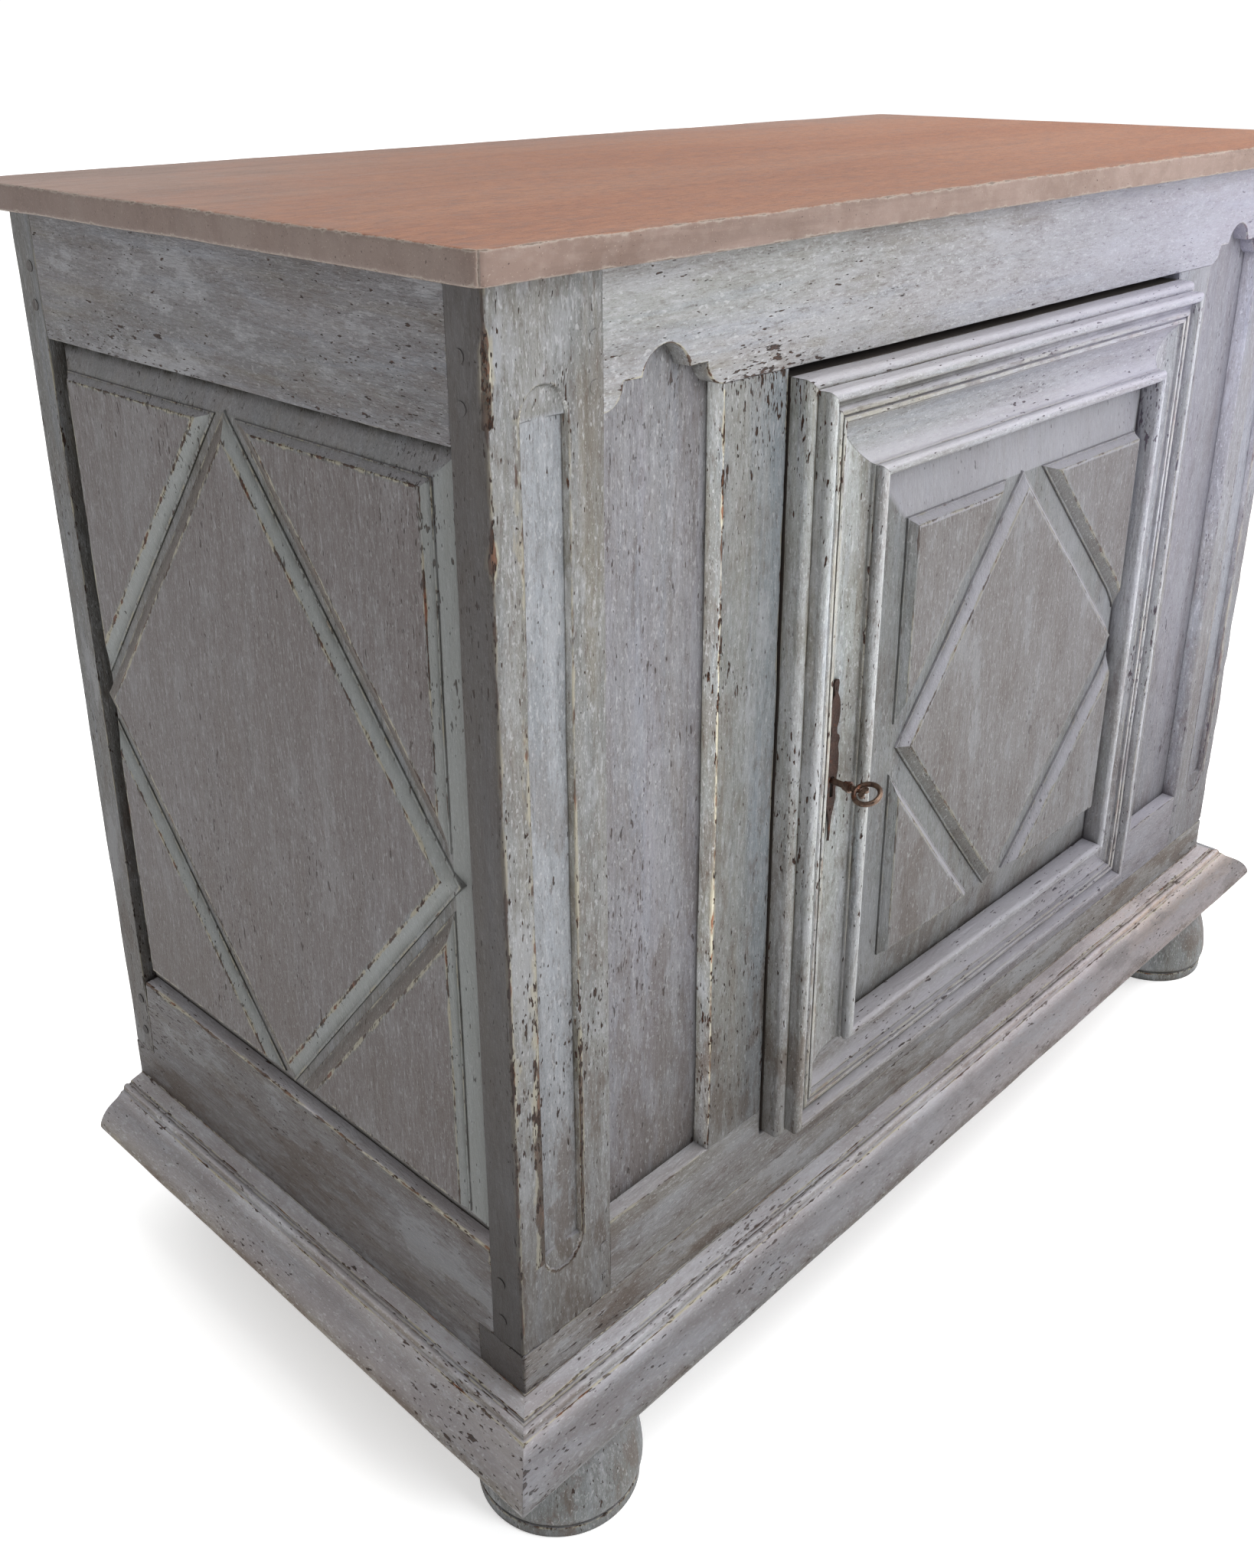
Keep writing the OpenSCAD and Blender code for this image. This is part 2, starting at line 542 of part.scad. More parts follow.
post_front_left();
post_front_right();
post_back_left();
post_back_right();
rail_front_top();
rail_front_bottom();
stile_inner_left();
stile_inner_right();
panel_shaped_left();
panel_shaped_right();
rail_side_top_left();
rail_side_top_right();
rail_side_bottom_left();
rail_side_bottom_right();
panel_side_left();
panel_side_right();
rail_back_top();
rail_back_bottom();
back_boards();
sill_front();
sill_left();
sill_right();
sill_back();
bottom_boards();
shelf_boards();
shelf_cleats();
pegs_carcass();
top_board();
top_cleats();
base_moulding_front();
base_moulding_left();
base_moulding_right();
base_back_bar();
base_corner_blocks();
foot_front_left();
foot_front_right();
foot_back_left();
foot_back_right();
door_stops();
lock_keeper();
hinge_case_leaves();
hinge_pins();
door_stile_left();
door_stile_right();
door_rail_top();
door_rail_bottom();
door_moulding_left();
door_moulding_right();
door_moulding_top();
door_moulding_bottom();
door_panel();
door_pegs();
hinge_door_leaves();
lock_case();
lock_nails();
lock_bolt();
escutcheon();
escutcheon_nails();
key();
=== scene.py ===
import bpy, bmesh, math
import numpy as np
from mathutils import Matrix, Vector


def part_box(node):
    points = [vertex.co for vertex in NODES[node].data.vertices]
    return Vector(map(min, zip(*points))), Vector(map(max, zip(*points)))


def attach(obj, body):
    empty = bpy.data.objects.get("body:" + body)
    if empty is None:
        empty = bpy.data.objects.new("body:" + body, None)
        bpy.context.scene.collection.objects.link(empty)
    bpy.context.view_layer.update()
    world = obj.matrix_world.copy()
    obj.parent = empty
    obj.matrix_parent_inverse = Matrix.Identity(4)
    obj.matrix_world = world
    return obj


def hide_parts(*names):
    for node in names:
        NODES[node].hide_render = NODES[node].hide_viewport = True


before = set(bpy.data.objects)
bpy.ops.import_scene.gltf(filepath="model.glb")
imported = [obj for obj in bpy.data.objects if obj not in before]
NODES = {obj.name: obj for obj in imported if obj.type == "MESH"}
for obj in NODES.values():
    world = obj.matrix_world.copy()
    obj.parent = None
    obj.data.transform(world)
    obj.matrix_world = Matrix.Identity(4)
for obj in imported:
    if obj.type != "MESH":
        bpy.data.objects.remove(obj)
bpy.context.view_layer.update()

scene = bpy.context.scene

# ------------------------------------------------------------------ numbers of the object, mm
# x from the middle, y back from the carcass face, z up from the top of the base moulding
HW, D, H = 575.0, 560.0, 828.0
YC, Z0 = 251.5, 143.0
POST = 481.0
DX, DZ0, DZ1 = 297.0, 82.0, 730.0
STILE_IN, STILE_OUT = 299.0, 367.0
XK, ZK = -247.0, 405.0


def to_m(P):
    P = np.asarray(P, float)
    return np.stack([P[:, 0], P[:, 1] - YC, P[:, 2] + Z0], 1) / 1000.0


# ------------------------------------------------------------------ noise
def _hash(ix, iy, iz, seed):
    h = (ix * 374761393 + iy * 668265263 + iz * 1442695041 + seed * 974634777) & 0xFFFFFFFF
    h = ((h ^ (h >> 13)) * 1274126177) & 0xFFFFFFFF
    h = h ^ (h >> 16)
    return (h & 0xFFFFFF) / float(0xFFFFFF)


def vnoise(P, f, seed=0):
    Q = np.asarray(P, float) * np.asarray(f, float)
    I = np.floor(Q).astype(np.int64)
    F = Q - I
    F = F * F * (3 - 2 * F)
    r = 0.0
    for a in (0, 1):
        wa = F[:, 0] if a else 1 - F[:, 0]
        for b in (0, 1):
            wb = F[:, 1] if b else 1 - F[:, 1]
            for c in (0, 1):
                wc = F[:, 2] if c else 1 - F[:, 2]
                r = r + wa * wb * wc * _hash(I[:, 0] + a, I[:, 1] + b, I[:, 2] + c, seed)
    return r * 2 - 1


def fbm(P, f, seed=0, octaves=3):
    f = np.asarray(f, float)
    s, a = 0.0, 1.0
    for k in range(octaves):
        s = s + a * vnoise(P, f * (2.03 ** k), seed + 17 * k)
        a *= 0.5
    return s


def wobble(P, amp=0.45):
    """The unevenness of old hand-planed wood: one field for all pieces, so joints stay closed."""
    W = np.stack([fbm(P, 0.011, 3, 2), fbm(P, 0.011, 5, 2), fbm(P, 0.011, 7, 2)], 1)
    F = np.stack([vnoise(P, 0.06, 13), vnoise(P, 0.06, 15), vnoise(P, 0.06, 19)], 1)
    return W * amp + F * 0.10


def smooth01(x):
    x = np.clip(x, 0, 1)
    return x * x * (3 - 2 * x)


# ------------------------------------------------------------------ shells as arrays
class Shell:
    """Vertices in mm with three masks: edge (worn arris), cav (hollow darkened with dirt and painted shade), tone."""

    def __init__(self):
        self.V, self.F, self.e, self.c, self.t, self.n = [], [], [], [], [], 0

    def add(self, V, F, e=None, c=None, t=None):
        V = np.asarray(V, float)
        n = len(V)
        self.V.append(V)
        self.F += [tuple(int(i) + self.n for i in f) for f in F]
        z = np.zeros(n)
        self.e.append(z if e is None else np.broadcast_to(np.asarray(e, float), (n,)))
        self.c.append(z if c is None else np.broadcast_to(np.asarray(c, float), (n,)))
        self.t.append(z if t is None else np.broadcast_to(np.asarray(t, float), (n,)))
        self.n += n
        return self

    def arrays(self):
        return np.concatenate(self.V), self.F, np.concatenate(self.e), np.concatenate(self.c), np.concatenate(self.t)


def piece(name, shell, node, body, mat, wob=0.45, sharp=32, inside=True, replaces=None):
    V, F, e, c, t = shell.arrays()
    if wob:
        V = V + wobble(V, wob)
    P = to_m(V)
    names = [node] if isinstance(node, str) else list(node)
    if inside:
        lo = np.min([np.array(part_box(n)[0]) for n in names], axis=0)
        hi = np.max([np.array(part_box(n)[1]) for n in names], axis=0)
        P = np.clip(P, lo, hi)
    me = bpy.data.meshes.new(name)
    me.from_pydata([tuple(p) for p in P], [], F)
    for key, val in (("edge", e), ("cav", c), ("tone", t)):
        a = me.attributes.new(key, "FLOAT", "POINT")
        a.data.foreach_set("value", np.ascontiguousarray(val, dtype=np.float32))
    bm = bmesh.new()
    bm.from_mesh(me)
    bmesh.ops.remove_doubles(bm, verts=bm.verts, dist=1e-6)
    bmesh.ops.dissolve_degenerate(bm, dist=1e-7, edges=bm.edges)
    bmesh.ops.recalc_face_normals(bm, faces=bm.faces)
    bm.to_mesh(me)
    bm.free()
    me.shade_smooth()
    me.set_sharp_from_angle(angle=math.radians(sharp))
    o = bpy.data.objects.new(name, me)
    scene.collection.objects.link(o)
    me.materials.append(mat)
    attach(o, body)
    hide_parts(*names)
    return o


def axis_lines(a, b, r, step, extra=(), fine=True):
    L = b - a
    near = [0, 0.45 * r, r, r + 1.3, r + 4.0, r + 10.0] if fine else [0, r, r + 3.0]
    s = set()
    for v in near:
        if v < L / 2:
            s.add(round(v, 4))
            s.add(round(L - v, 4))
    m = near[-1]
    if L > 2 * m:
        n = max(1, int(round((L - 2 * m) / step)))
        for i in range(n + 1):
            s.add(round(m + (L - 2 * m) * i / n, 4))
    must = [0.0, L] + [x - a for x in extra]
    out = sorted(must)
    for v in sorted(s):
        if min(abs(v - q) for q in out) > 0.3:
            out.append(v)
    return np.array(sorted(set(out))) + a


def slab(lo, hi, r=0.9, step=15.0, ex=(), ey=(), ez=(), big=(), rbig=2.0, seed=1):
    """A board with rounded arrises on a graded grid. big: functions that pick the vertices with a larger radius."""
    X = axis_lines(lo[0], hi[0], r, step, ex)
    Y = axis_lines(lo[1], hi[1], r, step, ey)
    Z = axis_lines(lo[2], hi[2], r, step, ez)
    nx, ny, nz = len(X), len(Y), len(Z)
    m = np.zeros((nx, ny, nz), bool)
    m[0] = m[-1] = True
    m[:, 0] = m[:, -1] = True
    m[:, :, 0] = m[:, :, -1] = True
    idx = -np.ones((nx, ny, nz), int)
    idx[m] = np.arange(m.sum())
    g = np.argwhere(m)
    V = np.stack([X[g[:, 0]], Y[g[:, 1]], Z[g[:, 2]]], 1)
    F = []

    def grid(A, flip):
        q = np.stack([A[:-1, :-1], A[1:, :-1], A[1:, 1:], A[:-1, 1:]], -1).reshape(-1, 4)
        F.extend((q[:, ::-1] if flip else q).tolist())

    grid(idx[0], True), grid(idx[-1], False)
    grid(idx[:, 0], False), grid(idx[:, -1], True)
    grid(idx[:, :, 0], True), grid(idx[:, :, -1], False)
    lo, hi = np.array(lo, float), np.array(hi, float)
    d = np.sort(np.minimum(V - lo, hi - V), axis=1)[:, 1]
    rv = np.full(len(V), float(r))
    for pick in big:
        k = pick(V)
        rv = rv + (rbig - r) * k * (0.75 + 0.55 * fbm(V, (0.02, 0.02, 0.02), seed, 3))
    rv = np.clip(rv, 0.2, min(hi - lo) * 0.45)
    P = V.copy()
    for a, b in ((0, 1), (0, 2), (1, 2)):
        pa = np.clip(P[:, a], lo[a] + rv, hi[a] - rv)
        pb = np.clip(P[:, b], lo[b] + rv, hi[b] - rv)
        va, vb = P[:, a] - pa, P[:, b] - pb
        eu = np.hypot(va, vb)
        ch = np.maximum(abs(va), abs(vb))
        k = np.where(eu > 1e-9, ch / np.maximum(eu, 1e-9), 1.0)
        P[:, a], P[:, b] = pa + va * k, pb + vb * k
    e = np.clip(1 - d / (rv + 2.2), 0, 1)
    return P, F, e, V


def offset_poly(pts, dist):
    """Moves each edge of a counter-clockwise polygon inwards by its own distance."""
    pts = np.asarray(pts, float)
    n = len(pts)
    dist = np.broadcast_to(np.asarray(dist, float), (n,))
    out = []
    for i in range(n):
        a, b, c = pts[i - 1], pts[i], pts[(i + 1) % n]
        u, v = b - a, c - b
        u, v = u / np.linalg.norm(u), v / np.linalg.norm(v)
        nu, nv = np.array([-u[1], u[0]]), np.array([-v[1], v[0]])
        M = np.array([nu, nv])
        if abs(np.linalg.det(M)) < 1e-3:
            out.append(b + nv * dist[i])
        else:
            out.append(np.linalg.solve(M, [nu @ b + dist[i - 1], nv @ b + dist[i]]))
    return np.array(out)


def ring_points(poly, counts):
    out = []
    n = len(poly)
    for i in range(n):
        a, b = poly[i], poly[(i + 1) % n]
        for k in range(counts[i]):
            out.append(a + (b - a) * k / counts[i])
    return np.array(out)


def relief(pts, rings, bottom, step=9.0, steps_in=(0.93, 0.8, 0.6, 0.35, 0.1), tone=0.0):
    """Closed shell: polygon outline, rings of (insets per edge, height, edge, cav), drawn in (a, b, height)."""
    pts = np.asarray(pts, float)
    n = len(pts)
    counts = [max(2, int(round(np.linalg.norm(pts[(i + 1) % n] - pts[i]) / step))) for i in range(n)]
    V, e, c, t = [], [], [], []
    base = ring_points(pts, counts)
    V.append(np.column_stack([base, np.full(len(base), bottom)]))
    for q in (e, c, t):
        q.append(np.zeros(len(base)))
    last = None
    for k, (ins, h, ee, cc) in enumerate(rings):
        q = ring_points(offset_poly(pts, ins), counts)
        V.append(np.column_stack([q, np.full(len(q), h)]))
        e.append(np.full(len(q), ee)), c.append(np.full(len(q), cc)), t.append(np.full(len(q), tone * (k == len(rings) - 1)))
        last, hl = q, h
    ctr = last.mean(0)
    for k in steps_in:
        q = ctr + (last - ctr) * k
        V.append(np.column_stack([q, np.full(len(q), hl)]))
        e.append(np.zeros(len(q))), c.append(np.zeros(len(q))), t.append(np.full(len(q), float(tone)))
    m = len(base)
    F = []
    for r in range(len(V) - 1):
        for i in range(m):
            j = (i + 1) % m
            F.append((r * m + i, r * m + j, (r + 1) * m + j, (r + 1) * m + i))
    F.append(tuple((len(V) - 1) * m + i for i in range(m)))
    F.append(tuple(m - 1 - i for i in range(m)))
    return np.concatenate(V), F, np.concatenate(e), np.concatenate(c), np.concatenate(t)


def arc(cx, cy, r, a0, a1, n):
    return [(cx + r * math.cos(math.radians(a0 + (a1 - a0) * i / n)), cy + r * math.sin(math.radians(a0 + (a1 - a0) * i / n))) for i in range(n + 1)]


def detail_profile(pts, soft=0.45, support=1.6):
    """Rounds sharp corners a little and marks worn arrises and hollows. Closed loop."""
    pts = [np.array(p, float) for p in pts]
    area = sum(pts[i - 1][0] * pts[i][1] - pts[i][0] * pts[i - 1][1] for i in range(len(pts)))
    sgn = 1.0 if area > 0 else -1.0
    out, e, c = [], [], []
    n = len(pts)
    for i in range(n):
        a, b, d = pts[i - 1], pts[i], pts[(i + 1) % n]
        la, ld = np.linalg.norm(a - b), np.linalg.norm(d - b)
        u, v = (b - a) / la, (d - b) / ld
        turn = math.degrees(math.atan2(u[0] * v[1] - u[1] * v[0], u @ v)) * sgn
        if abs(turn) > 24:
            k = 1.0 if turn > 0 else 0.0
            s1, s2 = min(soft, la * 0.4), min(soft, ld * 0.4)
            if la > 2.5 * support:
                out.append(b - u * support), e.append(0.0), c.append(0.0)
            out += [b - u * s1, b - u * s1 * 0.3 + v * s2 * 0.3, b + v * s2]
            e += [0.75 * k, k, 0.75 * k]
            c += [0.7 * (1 - k), 1 - k, 0.7 * (1 - k)]
            if ld > 2.5 * support:
                out.append(b + v * support), e.append(0.0), c.append(0.0)
        else:
            out.append(b)
            e.append(max(0.0, min(0.35, turn / 60.0)))
            c.append(max(0.0, min(0.3, -turn / 60.0)))
    return np.array(out), np.array(e), np.array(c)


def sweep(profile, s0, s1, place, step=10.0, soft=0.45, wear_seed=0):
    """Profile (u, p) run along s; s0 and s1 are functions of (u, p) that cut the ends; place maps (s, u, p) to mm."""
    Q, e, c = detail_profile(profile, soft)
    m = len(Q)
    a, b = s0(Q[:, 0], Q[:, 1]), s1(Q[:, 0], Q[:, 1])
    n = max(2, int(round(np.max(b - a) / step)))
    T = [0.0, 0.002, 0.006] + [i / n for i in range(1, n)] + [0.994, 0.998, 1.0]
    V, E, C = [], [], []
    for t in T:
        s = a + (b - a) * t
        V.append(np.column_stack([s, Q]))
        end = 1.0 if t in (0.0, 1.0) else 0.0
        E.append(np.maximum(e, 0.35 * end)), C.append(np.maximum(c, 0.55 * end))
    V, E, C = np.concatenate(V), np.concatenate(E), np.concatenate(C)
    F = []
    for r in range(len(T) - 1):
        for i in range(m):
            j = (i + 1) % m
            F.append((r * m + i, r * m + j, (r + 1) * m + j, (r + 1) * m + i))
    F.append(tuple(m - 1 - i for i in range(m)))
    F.append(tuple((len(T) - 1) * m + i for i in range(m)))
    P = place(V[:, 0], V[:, 1], V[:, 2])
    ctr = P.mean(0)
    return np.asarray(P, float), F, E, C


def rub(P, E, amount, seed, f=(0.03, 0.03, 0.03), towards=None):
    """Wears marked arrises back towards a direction (a function or vector), more in some places than others."""
    k = np.clip(fbm(P, f, seed, 4) * 0.8 + 0.1, 0, 1.2) * E * amount
    return P + np.asarray(towards, float) * k[:, None]


# ------------------------------------------------------------------ materials
class Tree:
    def __init__(self, name):
        self.mat = bpy.data.materials.new(name)
        self.mat.use_nodes = True
        self.nt = self.mat.node_tree
        self.nt.nodes.clear()
        self.out = self.nt.nodes.new("ShaderNodeOutputMaterial")
        self.bsdf = self.nt.nodes.new("ShaderNodeBsdfPrincipled")
        self.nt.links.new(self.bsdf.outputs[0], self.out.inputs[0])
        self.co = self.nt.nodes.new("ShaderNodeTexCoord").outputs["Object"]

    def link(self, a, b):
        self.nt.links.new(a, b)

    def put(self, sock, v):
        if isinstance(v, bpy.types.NodeSocket):
            self.link(v, sock)
        elif v is not None:
            sock.default_value = v

    def scaled(self, s, off=(0, 0, 0)):
        n = self.nt.nodes.new("ShaderNodeMapping")
        self.link(self.co, n.inputs["Vector"])
        n.inputs["Scale"].default_value = s
        n.inputs["Location"].default_value = off
        return n.outputs[0]

    def noise(self, vec, detail=2.0, rough=0.55, dist=0.0, scale=1.0):
        n = self.nt.nodes.new("ShaderNodeTexNoise")
        n.inputs["Scale"].default_value = scale
        n.inputs["Detail"].default_value = detail
        n.inputs["Roughness"].default_value = rough
        n.inputs["Distortion"].default_value = dist
        self.link(vec, n.inputs["Vector"])
        return n.outputs["Fac"]

    def math(self, op, a, b=None, c=None, clamp=False):
        n = self.nt.nodes.new("ShaderNodeMath")
        n.operation = op
        n.use_clamp = clamp
        self.put(n.inputs[0], a), self.put(n.inputs[1], b)
        if c is not None:
            self.put(n.inputs[2], c)
        return n.outputs[0]

    def ramp(self, v, lo, hi, a=0.0, b=1.0, smooth=True):
        n = self.nt.nodes.new("ShaderNodeMapRange")
        n.interpolation_type = "SMOOTHSTEP" if smooth else "LINEAR"
        self.put(n.inputs[0], v)
        for i, x in enumerate((lo, hi, a, b)):
            n.inputs[i + 1].default_value = x
        return n.outputs[0]

    def mix(self, f, a, b, kind="MIX"):
        n = self.nt.nodes.new("ShaderNodeMix")
        n.data_type = "RGBA"
        n.blend_type = kind
        self.put(n.inputs[0], f)
        for sock, v in ((n.inputs[6], a), (n.inputs[7], b)):
            if isinstance(v, bpy.types.NodeSocket):
                self.link(v, sock)
            else:
                sock.default_value = (*v, 1.0)
        return n.outputs[2]

    def attr(self, name):
        n = self.nt.nodes.new("ShaderNodeAttribute")
        n.attribute_name = name
        return n.outputs["Fac"]

    def ao(self, dist, samples=8):
        n = self.nt.nodes.new("ShaderNodeAmbientOcclusion")
        n.samples = samples
        n.inputs["Distance"].default_value = dist
        return n.outputs["AO"]

    def xyz(self):
        n = self.nt.nodes.new("ShaderNodeSeparateXYZ")
        self.link(self.co, n.inputs[0])
        return n.outputs

    def normal(self):
        n = self.nt.nodes.new("ShaderNodeSeparateXYZ")
        self.link(self.nt.nodes.new("ShaderNodeTexCoord").outputs["Normal"], n.inputs[0])
        return n.outputs

    def scale(self, col, k):
        n = self.nt.nodes.new("ShaderNodeVectorMath")
        n.operation = "SCALE"
        self.link(col, n.inputs[0])
        self.put(n.inputs["Scale"], k)
        return n.outputs[0]

    def bump(self, height, strength, dist):
        n = self.nt.nodes.new("ShaderNodeBump")
        n.inputs["Strength"].default_value = strength
        n.inputs["Distance"].default_value = dist
        self.link(height, n.inputs["Height"])
        self.link(n.outputs[0], self.bsdf.inputs["Normal"])


def rgb(r, g, b):
    """sRGB 0-255 to linear."""
    return tuple(((v / 255.0) / 12.92) if v / 255.0 <= 0.04045 else ((v / 255.0 + 0.055) / 1.055) ** 2.4 for v in (r, g, b))


CREAM = rgb(182, 176, 156)
CHALK = rgb(194, 195, 198)
BROWN = rgb(76, 50, 36)
DARK = rgb(30, 22, 18)
# dark dirt colour, also used for painted shade on down-facing faces and in hollows
DIRT_AND_SHADE = rgb(52, 48, 36)
RUST = rgb(122, 70, 42)
GREEN = rgb(134, 138, 126)


def paint(name, grain, base, alt, stain, seed=0.0, flecks=1.0, chips=1.0, wear=1.0, grime_and_shade=1.0, rough=0.56, streak=1.0,
          tone=None, tone_amt=0.0, side=False, fall=(0.62, 1.08), dim=1.0, panel=False, gap=0.0,
          cool=rgb(158, 168, 182), warm=rgb(132, 122, 100), reveal=1.0, lit=0.0, tex=1.0, pink=0.0, upw=0.40, ledge=0.0, foot_fall=0.0, patches=0.35, lilac=0.0, mitre=False):
    """Old layered paint on wood, with painted light and shade mixed into its colour. grain: 0, 1 or 2, the axis the
    fibres run along.
    """
    t = Tree(name)
    off = (seed * 3.17, seed * 1.31, seed * 2.23)
    x, y, z = t.xyz()

    def g(across, along):
        s = [across] * 3
        s[grain] = along
        return tuple(s)

    blotch = t.noise(t.scaled(g(17, 2.2), off), 4, 0.62)
    bands = t.noise(t.scaled(g(48, 3.4), (off[1], off[2], off[0])), 4, 0.64)
    cloud = t.noise(t.scaled(g(26, 15), off), 3, 0.62)
    streaks = t.noise(t.scaled(g(110, 9), off), 4, 0.66)
    fibres = t.noise(t.scaled(g(600, 120), off), 3, 0.7)
    dashes = t.noise(t.scaled(g(310, 66), (off[2], off[0], off[1])), 4, 0.72)
    fine = t.noise(t.scaled(g(1250, 520), off), 2, 0.6)
    # colour
    col = t.mix(t.ramp(blotch, 0.36, 0.66), base, alt)
    col = t.mix(t.math("MULTIPLY", t.ramp(cloud, 0.50, 0.78), 0.6), col, stain)
    # long streaks: bluish, greenish beige and brown side by side
    col = t.mix(t.ramp(bands, 0.52, 0.70, 0.0, 0.42 * streak), col, t.mix(0.75, col, cool))
    col = t.mix(t.ramp(bands, 0.47, 0.33, 0.0, 0.46 * streak), col, t.mix(0.75, col, warm))
    if gap:
        near = t.ramp(t.math("ADD", t.math("ABSOLUTE", x), t.math("MULTIPLY", t.math("SUBTRACT", streaks, 0.5), 0.03)), 0.338, 0.308, 0.0, gap)
        col = t.mix(near, col, rgb(136, 148, 158))
    if tone:
        col = t.mix(t.math("MULTIPLY", t.attr("tone"), tone_amt), col, tone)
    if pink:
        col = t.mix(t.ramp(t.math("ADD", x, t.math("MULTIPLY", t.math("SUBTRACT", blotch, 0.5), 0.5)), -0.35, 0.45, 0.0, pink), col, rgb(196, 172, 168))
        col = t.mix(t.math("MULTIPLY", t.ramp(blotch, 0.50, 0.62), t.ramp(x, 0.20, 0.48, 0.0, 0.55)), col, rgb(204, 168, 124))
    if fall:
        low = t.ramp(t.math("ADD", z, t.math("MULTIPLY", t.math("SUBTRACT", cloud, 0.5), 0.22)), 0.50, 0.16, 0.0, 0.72)
        col = t.mix(low, col, t.mix(0.55, col, rgb(126, 112, 104)))
    col = t.mix(t.math("MULTIPLY", t.ramp(streaks, 0.40, 0.78), 0.26 * streak), col, CHALK)
    dk = t.math("MULTIPLY", t.ramp(streaks, 0.50, 0.27), 0.50 * streak)
    col = t.mix(dk, col, t.mix(0.5, col, DIRT_AND_SHADE))
    fb = t.math("MULTIPLY", t.ramp(fibres, 0.50, 0.28), 0.52)
    col = t.mix(fb, col, t.mix(0.62, col, BROWN))
    fl = t.math("MULTIPLY", t.ramp(fibres, 0.54, 0.74), 0.34)
    col = t.mix(fl, col, CHALK)
    fi = t.math("MULTIPLY", t.ramp(fine, 0.48, 0.30), 0.26)
    col = t.mix(fi, col, DIRT_AND_SHADE)
    col = t.mix(t.ramp(dashes, 0.46, 0.31, 0.0, 0.50 * tex), col, t.mix(0.66, col, BROWN))
    col = t.mix(t.ramp(dashes, 0.54, 0.70, 0.0, 0.50 * tex), col, CHALK)
    # old stains, brown and dark, more of them low down
    old = t.noise(t.scaled(g(21, 8), (off[1] + 3, off[0], off[2] + 1)), 6, 0.74)
    om = t.math("MULTIPLY", t.ramp(old, 0.50, 0.60), t.ramp(z, 0.75, 0.18, 0.50, 1.35))
    col = t.mix(t.math("MULTIPLY", om, patches, clamp=True), col, rgb(98, 80, 66))
    ol = t.math("MULTIPLY", t.ramp(old, 0.46, 0.38), patches)
    col = t.mix(ol, col, rgb(178, 180, 184))
    # painted highlight: what faces up is paler; painted shade: what faces down is darker
    nrm = t.normal()
    up = t.math("MULTIPLY", t.ramp(nrm[2], 0.12, 0.75), upw)
    col = t.mix(up, col, rgb(212, 210, 218))
    dn = t.math("MULTIPLY", t.ramp(nrm[2], -0.12, -0.70), 0.55)
    col = t.mix(dn, col, t.mix(0.6, col, DIRT_AND_SHADE))
    if lit:
        # painted highlight on faces turned slightly up, painted shade on faces turned down
        col = t.mix(t.ramp(nrm[2], 0.03, 0.12, 0.0, lit), col, rgb(226, 224, 236))
        col = t.mix(t.ramp(nrm[2], -0.10, -0.32, 0.0, 0.42), col, rgb(116, 109, 98))
    if panel:
        # painted light on relief slopes that face the front, painted shade on slopes that face the back
        tow = t.math("MULTIPLY", t.ramp(nrm[1], -0.07, -0.26), 0.62)
        col = t.mix(tow, col, rgb(188, 194, 192))
        away = t.math("MULTIPLY", t.ramp(nrm[1], 0.05, 0.24), 0.66)
        col = t.mix(away, col, rgb(98, 79, 66))
    # white flecks: short dashes along the grain
    fk1 = t.noise(t.scaled(g(430, 180), (off[0] + 5, off[1], off[2])), 1, 0.5)
    fk2 = t.noise(t.scaled(g(760, 360), (off[0], off[1] + 7, off[2])), 1, 0.5)
    fm = t.math("MAXIMUM", t.ramp(fk1, 0.645, 0.72), t.math("MULTIPLY", t.ramp(fk2, 0.635, 0.72), 0.75))
    fm = t.math("MULTIPLY", fm, 0.46 * flecks)
    col = t.mix(fm, col, rgb(208, 209, 210))
    # chips down to brown and black
    area = t.noise(t.scaled(g(9, 5), (off[0], off[1], off[2] + 9)), 3, 0.6)
    ch1 = t.noise(t.scaled(g(230, 60), (off[0] + 2, off[1] + 4, off[2])), 2, 0.6)
    ch2 = t.noise(t.scaled(g(560, 150), (off[0] + 8, off[1] + 1, off[2])), 1, 0.5)
    e = t.attr("edge")
    cav = t.attr("cav")
    lift = t.math("ADD", t.math("MULTIPLY", t.math("SUBTRACT", area, 0.5), 0.36), t.math("MULTIPLY", e, 0.085 * wear))
    for x0, z0, reach, much in ((-0.318, 0.880, 0.075, 0.090), (-0.600, 0.118, 0.050, 0.030)):
        far = t.math("ADD", t.math("ABSOLUTE", t.math("SUBTRACT", x, x0)), t.math("ABSOLUTE", t.math("SUBTRACT", z, z0)))
        lift = t.math("ADD", lift, t.math("MULTIPLY", t.ramp(far, reach, reach * 0.25), t.ramp(y, -0.10, -0.22, 0.0, much)))
    c1 = t.ramp(t.math("ADD", ch1, lift), 0.705, 0.735)
    c2 = t.ramp(t.math("ADD", ch2, lift), 0.728, 0.765)
    chip = t.math("MULTIPLY", t.math("MAXIMUM", c1, c2), 0.93 * chips, clamp=True)
